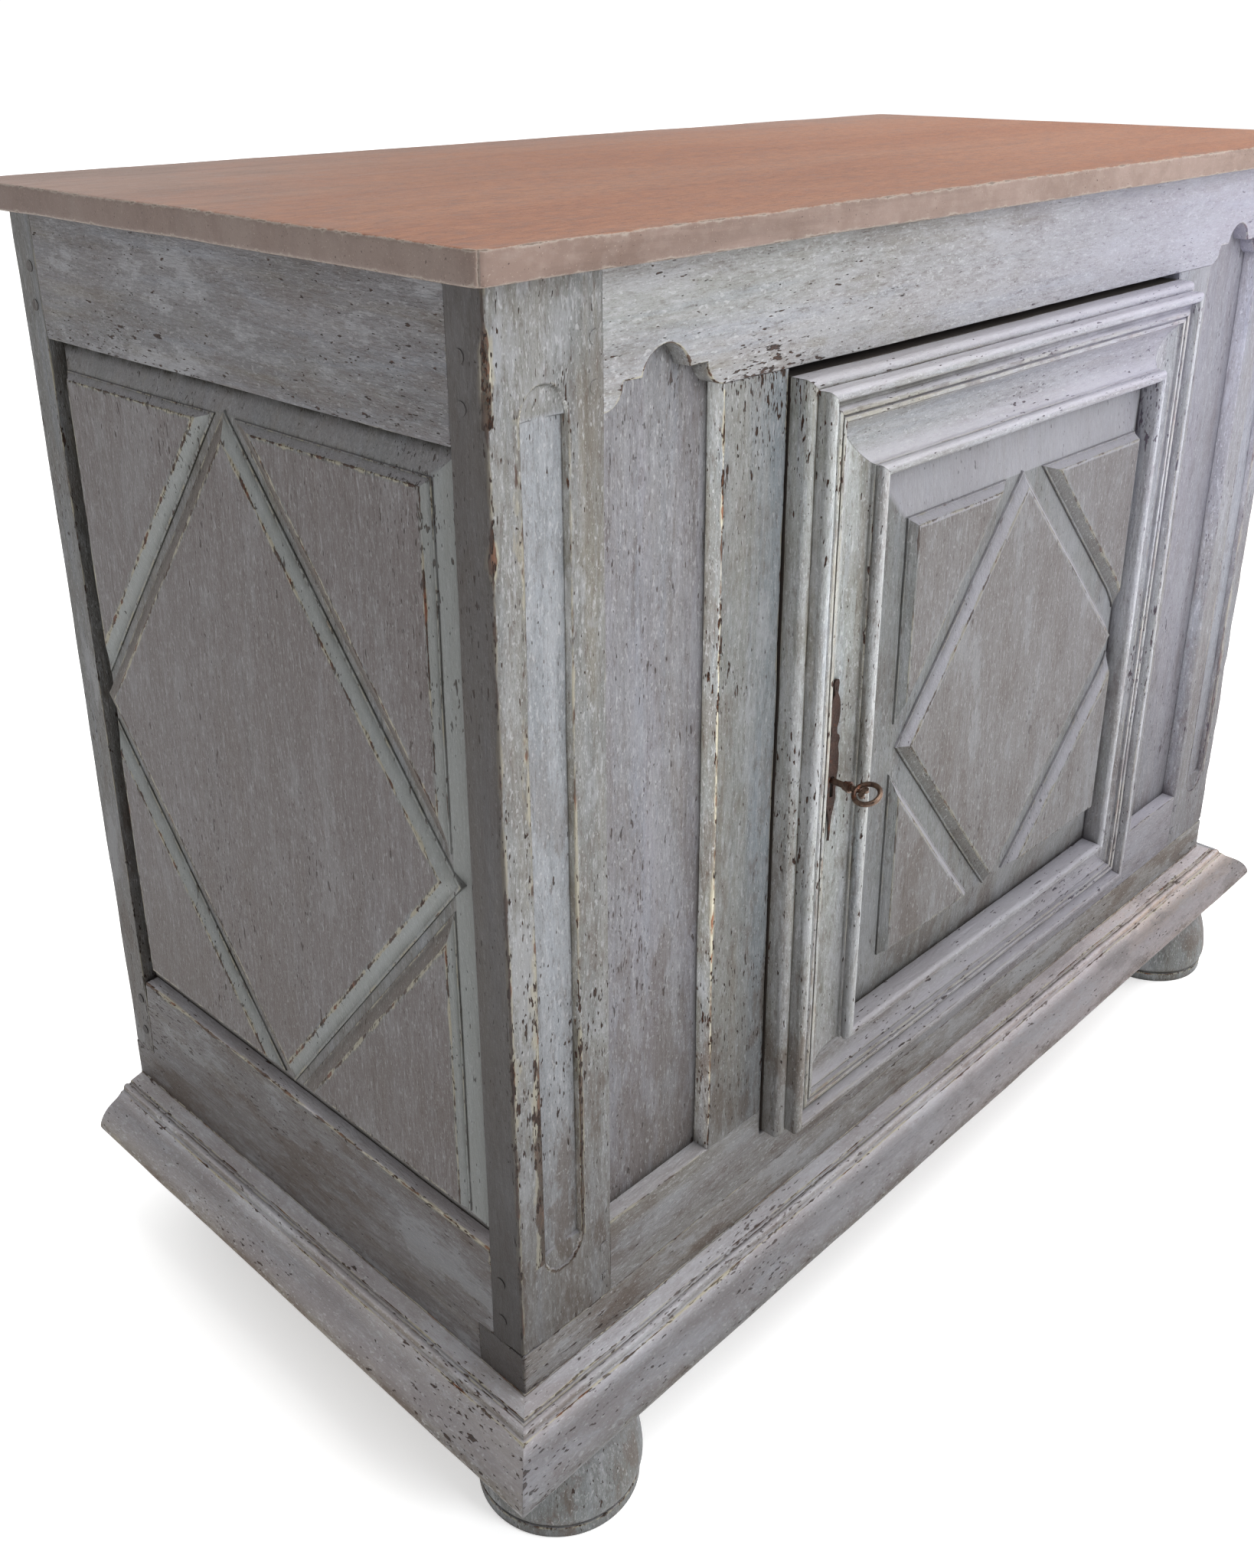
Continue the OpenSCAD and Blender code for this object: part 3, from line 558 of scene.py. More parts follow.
    # worn arrises: cream undercoat with brown dashes
    w1 = t.noise(t.scaled(g(70, 18), (off[0] + 1, off[1], off[2])), 4, 0.68)
    worn = t.ramp(t.math("ADD", t.math("MULTIPLY", e, 0.66), t.math("MULTIPLY", t.math("SUBTRACT", w1, 0.5), 1.7)), 0.36, 0.66)
    worn = t.math("MULTIPLY", worn, 0.82 * wear, clamp=True)
    col = t.mix(worn, col, CREAM)
    w2 = t.noise(t.scaled(g(140, 44), (off[0], off[1], off[2] + 3)), 3, 0.62)
    bw = t.ramp(t.math("ADD", t.math("MULTIPLY", e, 0.42), w2), 0.86, 0.97)
    bw = t.math("MULTIPLY", bw, 0.88 * wear, clamp=True)
    col = t.mix(bw, col, t.mix(t.ramp(w2, 0.42, 0.62), t.mix(t.ramp(fine, 0.42, 0.58), DARK, BROWN), t.mix(t.ramp(w1, 0.5, 0.62), BROWN, RUST)))
    # dirt and painted shade in hollows and beside joints: the ambient-occlusion darkening is painted shade, and the
    # cav mask darkens hollows with dirt and painted shade
    occ = t.math("SUBTRACT", 1.0, t.ao(0.016))
    gr = t.math("ADD", t.math("MULTIPLY", cav, 0.65), t.ramp(occ, 0.20, 0.80, 0.0, 0.9))
    gr = t.math("MULTIPLY", gr, t.ramp(t.math("ADD", w1, cloud), 0.72, 1.25, 0.42, 1.05))
    gr = t.math("MULTIPLY", gr, t.ramp(nrm[2], 0.45, 0.85, 1.0, 0.30))
    gr = t.math("MULTIPLY", gr, 0.85 * grime_and_shade, clamp=True)
    col = t.mix(gr, col, t.mix(t.ramp(occ, 0.45, 0.9), DIRT_AND_SHADE, rgb(48, 32, 22)))
    col = t.mix(chip, col, t.mix(t.ramp(fine, 0.4, 0.6), DARK, BROWN))
    if lilac:
        # painted sheen: a cool lilac tint towards the right end and higher up, where the lights fall strongest
        li = t.math("MULTIPLY", t.ramp(t.math("ADD", x, t.math("MULTIPLY", t.math("SUBTRACT", blotch, 0.5), 0.4)), -0.30, 0.42, 0.0, lilac), t.ramp(z, 0.45, 0.80, 0.55, 1.0))
        col = t.mix(li, col, t.mix(0.5, col, rgb(184, 182, 214)))
    # overall strength: darker low down and brighter at the top, partly as painted light; painted shade on the outer
    # sides
    k = dim
    if mitre:
        k = t.math("MULTIPLY", k, t.ramp(y, -0.10, -0.27, 1.0, 0.72))
    if fall:
        k = t.math("MULTIPLY", t.math("MULTIPLY", t.ramp(z, 0.08, 0.62, fall[0], 1.0), t.ramp(z, 0.5, 0.95, 1.0, fall[1])), dim)
    if foot_fall:
        k = t.math("MULTIPLY", k, t.ramp(z, 0.123, 0.131, foot_fall, 1.0))
    # painted highlight: faces turned up are brighter
    if ledge:
        k = t.math("MULTIPLY", k, t.ramp(nrm[2], 0.30, 0.80, 1.0, 1.0 + ledge))
    # painted light: faces turned sideways inside the front are scaled by reveal, brighter above 1 and darker below 1
    if reveal != 1.0:
        rv = t.math("MULTIPLY", t.ramp(t.math("ABSOLUTE", nrm[0]), 0.30, 0.80), t.ramp(t.math("ABSOLUTE", x), 0.5722, 0.566))
        k = t.math("MULTIPLY", k, t.ramp(rv, 0.0, 1.0, 1.0, reveal, smooth=False))
    # painted shade: the outer side faces are darker and browner than the front
    if side:
        out = t.ramp(t.math("ABSOLUTE", x), 0.5722, 0.5744)
        col = t.mix(t.math("MULTIPLY", out, 0.65), col, t.mix(0.6, col, rgb(150, 134, 130)))
        k = t.math("MULTIPLY", k, t.ramp(out, 0.0, 1.0, 1.0, 0.36, smooth=False))
    col = t.scale(col, k)
    # faces towards the inside of the cupboard are bare wood
    ins = t.math("MULTIPLY", t.ramp(t.math("MULTIPLY", x, nrm[0]), -0.20, -0.35), t.ramp(y, -0.2178, -0.2165))
    ins = t.math("MAXIMUM", ins, t.math("MULTIPLY", t.ramp(nrm[1], 0.5, 0.9), t.ramp(y, -0.16, -0.17)))
    ins = t.math("MULTIPLY", ins, t.ramp(z, 0.19, 0.20))
    raw = t.mix(t.ramp(blotch, 0.36, 0.66), rgb(122, 93, 68), rgb(98, 73, 52))
    raw = t.mix(t.ramp(streaks, 0.52, 0.34, 0.0, 0.6), raw, rgb(64, 46, 34))
    raw = t.mix(t.ramp(fibres, 0.50, 0.34, 0.0, 0.4), raw, DARK)
    col = t.mix(ins, col, raw)
    t.link(col, t.bsdf.inputs["Base Color"])
    r = t.ramp(t.math("ADD", t.math("MULTIPLY", streaks, 0.6), t.math("MULTIPLY", fine, 0.4)), 0.3, 0.7, rough - 0.09, rough + 0.12)
    r = t.math("ADD", r, t.math("MULTIPLY", chip, 0.2), clamp=True)
    t.link(r, t.bsdf.inputs["Roughness"])
    t.bsdf.inputs["Specular IOR Level"].default_value = 0.26
    h = t.math("ADD", t.math("MULTIPLY", streaks, 0.8), t.math("MULTIPLY", fibres, 0.75))
    h = t.math("ADD", h, t.math("MULTIPLY", fine, 0.3))
    h = t.math("ADD", h, t.math("MULTIPLY", fm, 0.25))
    h = t.math("SUBTRACT", h, t.math("MULTIPLY", chip, 1.0))
    h = t.math("ADD", h, t.math("MULTIPLY", cloud, 1.0))
    h = t.math("ADD", h, t.math("MULTIPLY", dashes, 0.9))
    t.bump(h, 0.85, 0.0009)
    return t.mat


def top_wood():
    t = Tree("waxed_top")
    x, y, z = t.xyz()
    wide = t.noise(t.scaled((1.6, 8, 5)), 4, 0.6, 0.3)
    rings = t.noise(t.scaled((4.0, 70, 60)), 5, 0.66, 0.25)
    pores = t.noise(t.scaled((80, 520, 420)), 3, 0.68)
    cloud = t.noise(t.scaled((9, 12, 9)), 5, 0.68)
    mott = t.noise(t.scaled((60, 110, 80)), 4, 0.7)
    speck = t.noise(t.scaled((260, 420, 300)), 2, 0.6)
    tiny = t.noise(t.scaled((760, 900, 700)), 1, 0.5)
    warm, deep, pale = rgb(132, 82, 55), rgb(106, 64, 43), rgb(138, 94, 70)
    grey = rgb(136, 118, 110)
    col = t.mix(t.ramp(wide, 0.36, 0.66), warm, pale)
    col = t.mix(t.math("MULTIPLY", t.ramp(rings, 0.44, 0.68), 0.34), col, deep)
    col = t.mix(t.math("MULTIPLY", t.ramp(mott, 0.42, 0.64), 0.42), col, rgb(160, 118, 94))
    col = t.mix(t.math("MULTIPLY", t.ramp(mott, 0.47, 0.30), 0.46), col, rgb(96, 60, 43))
    col = t.mix(t.math("MULTIPLY", t.ramp(pores, 0.52, 0.36), 0.42), col, rgb(84, 52, 38))
    # greyed towards the left end and along the margins
    jit = t.math("SUBTRACT", cloud, 0.5)
    diag = t.math("SUBTRACT", t.math("MULTIPLY", y, 0.9), t.math("MULTIPLY", x, 0.8))
    left = t.ramp(t.math("ADD", diag, t.math("MULTIPLY", jit, 0.40)), 0.26, 0.72, 0.0, 0.85)
    back = t.ramp(t.math("ADD", y, t.math("MULTIPLY", jit, 0.16)), 0.16, 0.34, 0.0, 0.55)
    front = t.ramp(t.math("ADD", y, t.math("MULTIPLY", jit, 0.03)), -0.266, -0.290, 0.0, 0.25)
    g = t.math("MAXIMUM", t.math("MAXIMUM", left, back), front)
    side = t.attr("tone")
    g = t.math("MAXIMUM", g, t.math("MULTIPLY", side, 0.93))
    greyed = t.mix(t.ramp(cloud, 0.35, 0.7), grey, rgb(118, 100, 91))
    greyed = t.mix(t.math("MULTIPLY", t.ramp(mott, 0.42, 0.66), 0.4), greyed, rgb(148, 134, 127))
    greyed = t.mix(t.math("MULTIPLY", t.ramp(rings, 0.45, 0.62), 0.30), greyed, rgb(84, 68, 60))
    col = t.mix(g, col, greyed)
    nrm = t.normal()
    end = t.ramp(nrm[0], -0.5, -0.9, 0.0, 0.62)
    col = t.mix(end, col, t.mix(t.ramp(cloud, 0.38, 0.62), rgb(108, 94, 88), rgb(128, 116, 110)))
    e = t.attr("edge")
    w = t.ramp(t.math("ADD", t.math("MULTIPLY", e, 0.6), t.math("MULTIPLY", t.math("SUBTRACT", mott, 0.5), 1.3)), 0.33, 0.62, 0.0, 0.75)
    col = t.mix(w, col, rgb(158, 148, 138))
    wd = t.ramp(t.math("ADD", t.math("MULTIPLY", e, 0.45), mott), 0.92, 1.02, 0.0, 0.6)
    col = t.mix(wd, col, rgb(72, 52, 42))
    sp = t.ramp(t.math("ADD", speck, t.math("MULTIPLY", jit, 0.25)), 0.70, 0.75, 0.0, 0.8)
    sp = t.math("MAXIMUM", sp, t.ramp(tiny, 0.71, 0.76, 0.0, 0.55))
    col = t.mix(sp, col, rgb(52, 32, 25))
    dust = t.ramp(tiny, 0.32, 0.26, 0.0, 0.40)
    col = t.mix(dust, col, rgb(176, 160, 148))
    # painted light: the top darker towards the left end and brighter to the right
    col = t.scale(col, t.ramp(x, -0.30, 0.60, 0.76, 0.96))
    t.link(col, t.bsdf.inputs["Base Color"])
    t.link(t.ramp(mott, 0.3, 0.7, 0.50, 0.66), t.bsdf.inputs["Roughness"])
    t.bsdf.inputs["Specular IOR Level"].default_value = 0.20
    h = t.math("ADD", t.math("MULTIPLY", rings, 0.5), t.math("MULTIPLY", pores, 0.5))
    h = t.math("ADD", h, t.math("ADD", t.math("MULTIPLY", cloud, 0.9), t.math("MULTIPLY", mott, 0.5)))
    h = t.math("SUBTRACT", h, t.math("MULTIPLY", sp, 0.5))
    t.bump(h, 0.6, 0.0007)
    return t.mat


def bare_wood(name, grain, a, b):
    t = Tree(name)

    def g(across, along):
        s = [across] * 3
        s[grain] = along
        return tuple(s)

    wide = t.noise(t.scaled(g(9, 1.6)), 4, 0.6, 0.4)
    rings = t.noise(t.scaled(g(70, 3)), 5, 0.6, 0.3)
    pores = t.noise(t.scaled(g(700, 26)), 3, 0.6)
    saw = t.noise(t.scaled(g(30, 160)), 2, 0.5)
    col = t.mix(t.ramp(wide, 0.35, 0.65), a, b)
    col = t.mix(t.math("MULTIPLY", t.ramp(rings, 0.40, 0.66), 0.55), col, t.mix(0.6, a, DARK))
    col = t.mix(t.math("MULTIPLY", t.ramp(pores, 0.52, 0.38), 0.4), col, DARK)
    # painted shade: darker in corners and beside other parts
    occ = t.math("SUBTRACT", 1.0, t.ao(0.03, 4))
    col = t.mix(t.ramp(occ, 0.2, 0.9, 0.0, 0.6), col, DARK)
    x, y, z = t.xyz()
    # painted shadow: a near-black band on the door's edges where the gap to the case is
    rim = t.math("MAXIMUM", t.math("MULTIPLY", t.ramp(t.math("ABSOLUTE", x), 0.2945, 0.2962), t.ramp(t.math("ABSOLUTE", x), 0.2985, 0.2975)), t.math("MAXIMUM", t.math("MULTIPLY", t.ramp(z, 0.8710, 0.8726), t.ramp(z, 0.8745, 0.8735)), t.math("MULTIPLY", t.ramp(z, 0.2268, 0.2252), t.ramp(z, 0.2235, 0.2242))))
    rim = t.math("MULTIPLY", rim, t.ramp(y, -0.216, -0.213, 1.0, 0.0))
    col = t.mix(t.math("MULTIPLY", rim, 0.92), col, rgb(22, 16, 13))
    t.link(col, t.bsdf.inputs["Base Color"])
    t.link(t.ramp(rings, 0.3, 0.7, 0.62, 0.82), t.bsdf.inputs["Roughness"])
    h = t.math("ADD", t.math("MULTIPLY", rings, 0.8), t.math("ADD", t.math("MULTIPLY", pores, 0.6), t.math("MULTIPLY", saw, 0.4)))
    t.bump(h, 0.7, 0.0007)
    return t.mat


def iron(name, a, b, rough=0.42, metal=0.75):
    t = Tree(name)
    n1 = t.noise(t.scaled((90, 90, 90)), 5, 0.65)
    n2 = t.noise(t.scaled((520, 520, 520)), 3, 0.6)
    col = t.mix(t.ramp(n1, 0.38, 0.64), a, b)
    rust = t.ramp(t.math("ADD", n1, t.math("MULTIPLY", n2, 0.4)), 0.78, 0.86, 0.0, 0.7)
    col = t.mix(rust, col, rgb(96, 58, 40))
    t.link(col, t.bsdf.inputs["Base Color"])
    t.bsdf.inputs["Metallic"].default_value = metal
    t.link(t.ramp(n2, 0.3, 0.7, rough - 0.1, rough + 0.16), t.bsdf.inputs["Roughness"])
    t.bump(t.math("ADD", n1, t.math("MULTIPLY", n2, 0.5)), 0.5, 0.0004)
    return t.mat


M = {
    "frame_v": paint("paint_frame_upright", 2, rgb(143, 142, 137), rgb(137, 139, 139), rgb(124, 119, 106), 1.0, side=True, tone=rgb(170, 176, 184), tone_amt=0.9, chips=1.1, dim=0.51, reveal=3.1, fall=(0.48, 1.08), tex=1.35, patches=0.5, lilac=0.5),
    "stile_v": paint("paint_inner_stile", 2, rgb(150, 150, 144), rgb(142, 146, 146), rgb(136, 134, 122), 1.6, gap=0.6, chips=1.1, dim=0.47, reveal=4.2, fall=(0.50, 1.08), tex=1.3, patches=0.5, lilac=0.5),
    "frame_h": paint("paint_frame_cross", 0, rgb(167, 166, 168), rgb(160, 162, 159), rgb(147, 144, 134), 2.0, side=True, dim=0.57, fall=(0.50, 1.08), reveal=1.5, ledge=0.8, tex=1.3, patches=0.4, lilac=0.75),
    "sill_f": paint("paint_front_sill", 0, rgb(160, 158, 157), rgb(151, 151, 149), rgb(134, 126, 116), 13.0, side=True, dim=0.74, fall=(0.50, 1.08), tex=1.1, wear=1.2, patches=0.5),
    "panel_v": paint("paint_shaped_panel", 2, rgb(158, 156, 164), rgb(150, 150, 154), rgb(146, 142, 142), 3.0, chips=0.8, dim=0.46, warm=rgb(128, 116, 108), fall=(0.52, 1.08), tex=1.25, lilac=0.4),
    "door_v": paint("paint_door_upright", 2, rgb(158, 162, 158), rgb(164, 166, 166), rgb(136, 140, 128), 4.0, grime_and_shade=1.4, fall=(0.50, 1.04), dim=0.84, wear=0.5, reveal=0.86, tex=1.35, chips=1.3, streak=1.3, patches=0.45, lilac=0.5),
    "door_h": paint("paint_door_cross", 0, rgb(168, 168, 172), rgb(158, 160, 158), rgb(142, 143, 132), 5.0, grime_and_shade=1.4, fall=(0.52, 1.04), dim=0.63, wear=0.5, upw=0.62, tex=1.2, lilac=0.75),
    "door_panel": paint("paint_door_panel", 2, rgb(164, 166, 168), rgb(156, 160, 158), rgb(146, 146, 140), 6.0, chips=0.6, grime_and_shade=1.15, tone=rgb(140, 132, 130), tone_amt=0.8, fall=(0.62, 1.04), dim=0.36, wear=0.9, lit=0.45, reveal=1.35, tex=1.15, patches=0.5, lilac=0.25),
    # the side paints are darker, browner copies of the front paints: partly painted shade of the sides, partly duller
    # paint
    "side_v": paint("paint_side_upright", 2, rgb(126, 123, 120), rgb(118, 118, 116), rgb(104, 100, 92), 7.0, fall=(0.74, 1.04), flecks=0.7, dim=0.42, grime_and_shade=0.6, wear=1.3, tex=0.6, patches=0.5),
    "side_h": paint("paint_side_cross", 1, rgb(130, 127, 130), rgb(122, 121, 124), rgb(112, 106, 100), 8.0, fall=(0.66, 1.04), flecks=0.5, dim=0.52, tex=0.5, ledge=1.9, patches=0.5),
    "side_panel": paint("paint_side_panel", 2, rgb(136, 134, 132), rgb(128, 130, 128), rgb(118, 116, 106), 9.0, chips=0.8, grime_and_shade=1.6, tone=rgb(126, 116, 116), tone_amt=0.85, fall=(0.86, 1.0), flecks=0.7, panel=True, dim=0.44, tex=0.95, patches=0.2, wear=1.5),
    "base_h": paint("paint_base_front", 0, rgb(146, 143, 145), rgb(140, 138, 136), rgb(132, 118, 108), 10.0, grime_and_shade=1.15, fall=None, chips=0.8, dim=0.63, wear=1.2, pink=0.6, foot_fall=0.52, patches=0.5),
    "base_d": paint("paint_base_side", 1, rgb(133, 122, 108), rgb(120, 112, 103), rgb(108, 93, 80), 11.0, grime_and_shade=1.3, fall=None, chips=0.95, dim=0.84, wear=1.2, foot_fall=0.8, patches=0.55, mitre=True),
    "foot": paint("paint_foot", 2, rgb(132, 136, 136), rgb(118, 120, 118), rgb(108, 104, 98), 12.0, grime_and_shade=1.3, streak=0.6, fall=None, dim=0.5, patches=0.5),
    "top": top_wood(),
    "inner_x": bare_wood("inner_wood_across", 0, rgb(128, 98, 72), rgb(108, 80, 56)),
    "inner_z": bare_wood("inner_wood_upright", 2, rgb(124, 94, 70), rgb(102, 76, 54)),
    "inner_y": bare_wood("inner_wood_deep", 1, rgb(124, 94, 70), rgb(102, 76, 54)),
    "iron": iron("forged_iron", rgb(58, 46, 40), rgb(38, 31, 28)),
    "key": iron("key_iron", rgb(104, 86, 74), rgb(66, 52, 45), 0.34, 0.85),
    "rusty": iron("escutcheon_iron", rgb(62, 42, 34), rgb(40, 28, 24), 0.55, 0.55),
}

# ------------------------------------------------------------------ carcass
FX = 530.5  # middle of a flute


def flute(P):
    """Depth of the flute at the front face, and how much of a point is its bed."""
    x, z = np.abs(np.abs(P[:, 0]) - FX), P[:, 2]
    over = np.where(z > 741, z - 741, np.where(z < 116, 116 - z, 0.0))
    rho = np.hypot(x, over * 19.5 / 21.0)
    wall = smooth01((19.5 - rho) / 0.75)
    dep = wall * (5.0 - 3.2 * np.clip(over / 21.0, 0, 1) ** 0.8)
    dep = np.where(over > 0, wall * (1.7 + 3.3 * np.clip((19.5 - rho) / 19.5, 0, 1) ** 0.85), dep)
    bed = smooth01((18.3 - rho) / 1.2) * smooth01((4.0 - over) / 6.0)
    return dep, bed, rho


def front_post(s, node):
    lo = (-HW, 0, 37) if s < 0 else (POST, 0, 37)
    hi = (-POST, 33, H) if s < 0 else (HW, 33, H)
    fx = [s * (FX + q) for q in (-20.4, -19.5, -19.1, -18.7, -18.0, -17.0)] + [s * (FX + q) for q in np.arange(-15.6, 15.7, 1.56)] + [s * (FX + q) for q in (17.0, 18.0, 18.7, 19.1, 19.5, 20.4)]
    fz = [93.5 + 1.25 * i for i in range(22)] + [738 + 1.25 * i for i in range(22)]
    outer = lambda V: (np.abs(V[:, 0]) > HW - 12) & (V[:, 1] < 14)
    P, F, e, V = slab(lo, hi, 0.5, 14, ex=fx, ez=fz, big=[lambda V: outer(V).astype(float)], rbig=4.2, seed=31)
    f = V[:, 1] < 1e-6
    dep, bed, rho = flute(V)
    dep, bed = np.where(f, dep, 0.0), np.where(f, bed, 0.0)
    P[:, 1] += dep
    z = V[:, 2]
    along = f & (z > 94) & (z < 763)
    e = e * np.where(outer(V), 1.0, 0.35)
    e = e * np.where(outer(V) & (z < 470), 1.25, 1.0)
    e = np.where(along & (np.abs(rho - 20.1) < 0.75), np.maximum(e, 0.8 + 0.8 * smooth01((330 - z) / 120)), e)
    c = np.where(along & (np.abs(rho - 18.7) < 0.85), 0.95, 0.0)
    t = bed
    # knocks on the outer arris
    a = np.exp(-((np.hypot((np.abs(P[:, 0]) - HW), P[:, 1])) / 5.0) ** 2)
    if s < 0:
        hit = sum(w * np.exp(-((z - z0) / h) ** 2) for z0, h, w in ((794, 6, 3.0), (781, 8, 4.2), (764, 10, 3.6), (747, 6, 2.2), (668, 7, 2.6), (655, 4, 1.6), (560, 5, 0.9), (430, 6, 1.0), (300, 5, 0.8), (118, 7, 1.4)))
    else:
        hit = sum(w * np.exp(-((z - z0) / h) ** 2) for z0, h, w in ((700, 8, 1.6), (505, 6, 1.1), (240, 8, 1.4)))
    hit = hit + np.clip(fbm(V, (0.01, 0.01, 0.09), 77, 3), 0, 1) * 0.9
    k = a * hit
    P[:, 0] -= s * k * 0.75
    P[:, 1] += k * 0.75
    e = np.clip(e + 1.3 * a * (hit > 1.4), 0, 2.2)
    sh = Shell().add(P, F, e, c, t)
    piece(node + "_wood", sh, node, "case", M["frame_v"])


front_post(-1, "post_front_left")
front_post(1, "post_front_right")

for s, nm in ((-1, "left"), (1, "right")):
    lo = (-HW, D - 33, 37) if s < 0 else (HW - 60, D - 33, 37)
    hi = (-HW + 60, D, H) if s < 0 else (HW, D, H)
    P, F, e, V = slab(lo, hi, 0.5, 16, big=[lambda V: ((np.abs(V[:, 0]) > HW - 12) & (V[:, 1] > D - 14)).astype(float)], rbig=2.6, seed=33)
    piece(f"post_back_{nm}_wood", Shell().add(P, F, e * 0.8), f"post_back_{nm}", "case", M["side_v"])
    lo = (-HW, 33, 727) if s < 0 else (HW - 26, 33, 727)
    hi = (-HW + 26, D - 33, H) if s < 0 else (HW, D - 33, H)
    P, F, e, V = slab(lo, hi, 0.6, 16, big=[lambda V: ((np.abs(V[:, 0]) > HW - 12) & (V[:, 2] < 740)).astype(float)], rbig=1.6, seed=35)
    piece(f"rail_side_top_{nm}_wood", Shell().add(P, F, e * 0.45), f"rail_side_top_{nm}", "case", M["side_h"])
    lo = (-HW, 33, 37) if s < 0 else (HW - 26, 33, 37)
    hi = (-HW + 26, D - 33, 120) if s < 0 else (HW, D - 33, 120)
    P, F, e, V = slab(lo, hi, 0.6, 16, big=[lambda V: ((np.abs(V[:, 0]) > HW - 12) & (V[:, 2] > 105)).astype(float)], rbig=3.6, seed=37)
    piece(f"rail_side_bottom_{nm}_wood", Shell().add(P, F, e * np.where(V[:, 2] > 100, 1.1, 0.2)), f"rail_side_bottom_{nm}", "case", M["side_h"])

# sill all round
P, F, e, V = slab((-HW, 0, 0), (HW, 50, 37), 0.3, 18, seed=39, big=[lambda V: ((np.abs(V[:, 0]) > HW - 12) & (V[:, 1] < 14)).astype(float)], rbig=3.0)
piece("sill_front_wood", Shell().add(P, F, e * np.where(np.abs(V[:, 0]) > HW - 12, 0.8, np.where(V[:, 2] > 30, 0.9, 0.1))), "sill_front", "case", M["sill_f"])
for s, nm in ((-1, "left"), (1, "right")):
    lo = (-HW, 50, 0) if s < 0 else (HW - 50, 50, 0)
    hi = (-HW + 50, D, 37) if s < 0 else (HW, D, 37)
    P, F, e, V = slab(lo, hi, 0.5, 18, seed=41)
    piece(f"sill_{nm}_wood", Shell().add(P, F, e * 0.15), f"sill_{nm}", "case", M["side_h"])


# front rails and stiles
def plate(outline, y0, y1, r, counts_step=6.0, wear=0.5, tight=()):
    """Outline in (x, z), counter-clockwise seen from the front, cut through from y0 to y1."""
    pts = np.asarray(outline, float)
    n = len(pts)
    counts = [max(1, int(round(np.linalg.norm(pts[(i + 1) % n] - pts[i]) / counts_step))) for i in range(n)]
    rad = np.full(n, float(r))
    for i in tight:
        rad[i] = 0.25
    k = rad / r
    lay = [(rad + 4.0 * np.maximum(k, 0.3), y0, 0.0), (rad + 1.2 * np.maximum(k, 0.3), y0, 0.15), (rad, y0, 0.6), (0.3 * rad, y0 + 0.3 * r, 1.0), (0.0 * rad, y0 + r, 0.6), (0.0 * rad, y0 + r + 2, 0.0), (0.0 * rad, y1 - r, 0.0), (rad, y1, 0.0)]
    V, E = [], []
    for ins, y, ee in lay:
        q = ring_points(offset_poly(pts, ins), counts)
        V.append(np.column_stack([q[:, 0], np.full(len(q), y), q[:, 1]]))
        E.append(np.full(len(q), ee * wear))
    m = sum(counts)
    F = []
    for k in range(len(lay) - 1):
        for i in range(m):
            j = (i + 1) % m
            F.append((k * m + i, k * m + j, (k + 1) * m + j, (k + 1) * m + i))
    F.append(tuple(m - 1 - i for i in range(m)))
    F.append(tuple((len(lay) - 1) * m + i for i in range(m)))
    return np.concatenate(V), F, np.concatenate(E)


SC = -(POST + STILE_OUT) / 2


def lower_edge(x):
    """Underside of the top rail: shoulders and an arch over each shaped panel, straight between."""
    a = np.abs(np.asarray(x, float))
    z = np.full(a.shape, 736.0)
    post = (a >= POST - 17) & (a <= POST)
    z = np.where(post, 753 - np.sqrt(np.clip(17 ** 2 - (POST - a) ** 2, 0, None)), z)
    mid = (a < POST - 17) & (a > STILE_OUT + 17)
    d = np.abs(a - abs(SC))
    z = np.where(mid, 753.0, z)
    z = np.where(mid & (d < 22.8), 747.5 + np.sqrt(np.clip(23.5 ** 2 - d ** 2, 0, None)), z)
    st = (a <= STILE_OUT + 17) & (a > STILE_OUT)
    z = np.where(st, 753 - np.sqrt(np.clip(17 ** 2 - (a - STILE_OUT) ** 2, 0, None)), z)
    return z


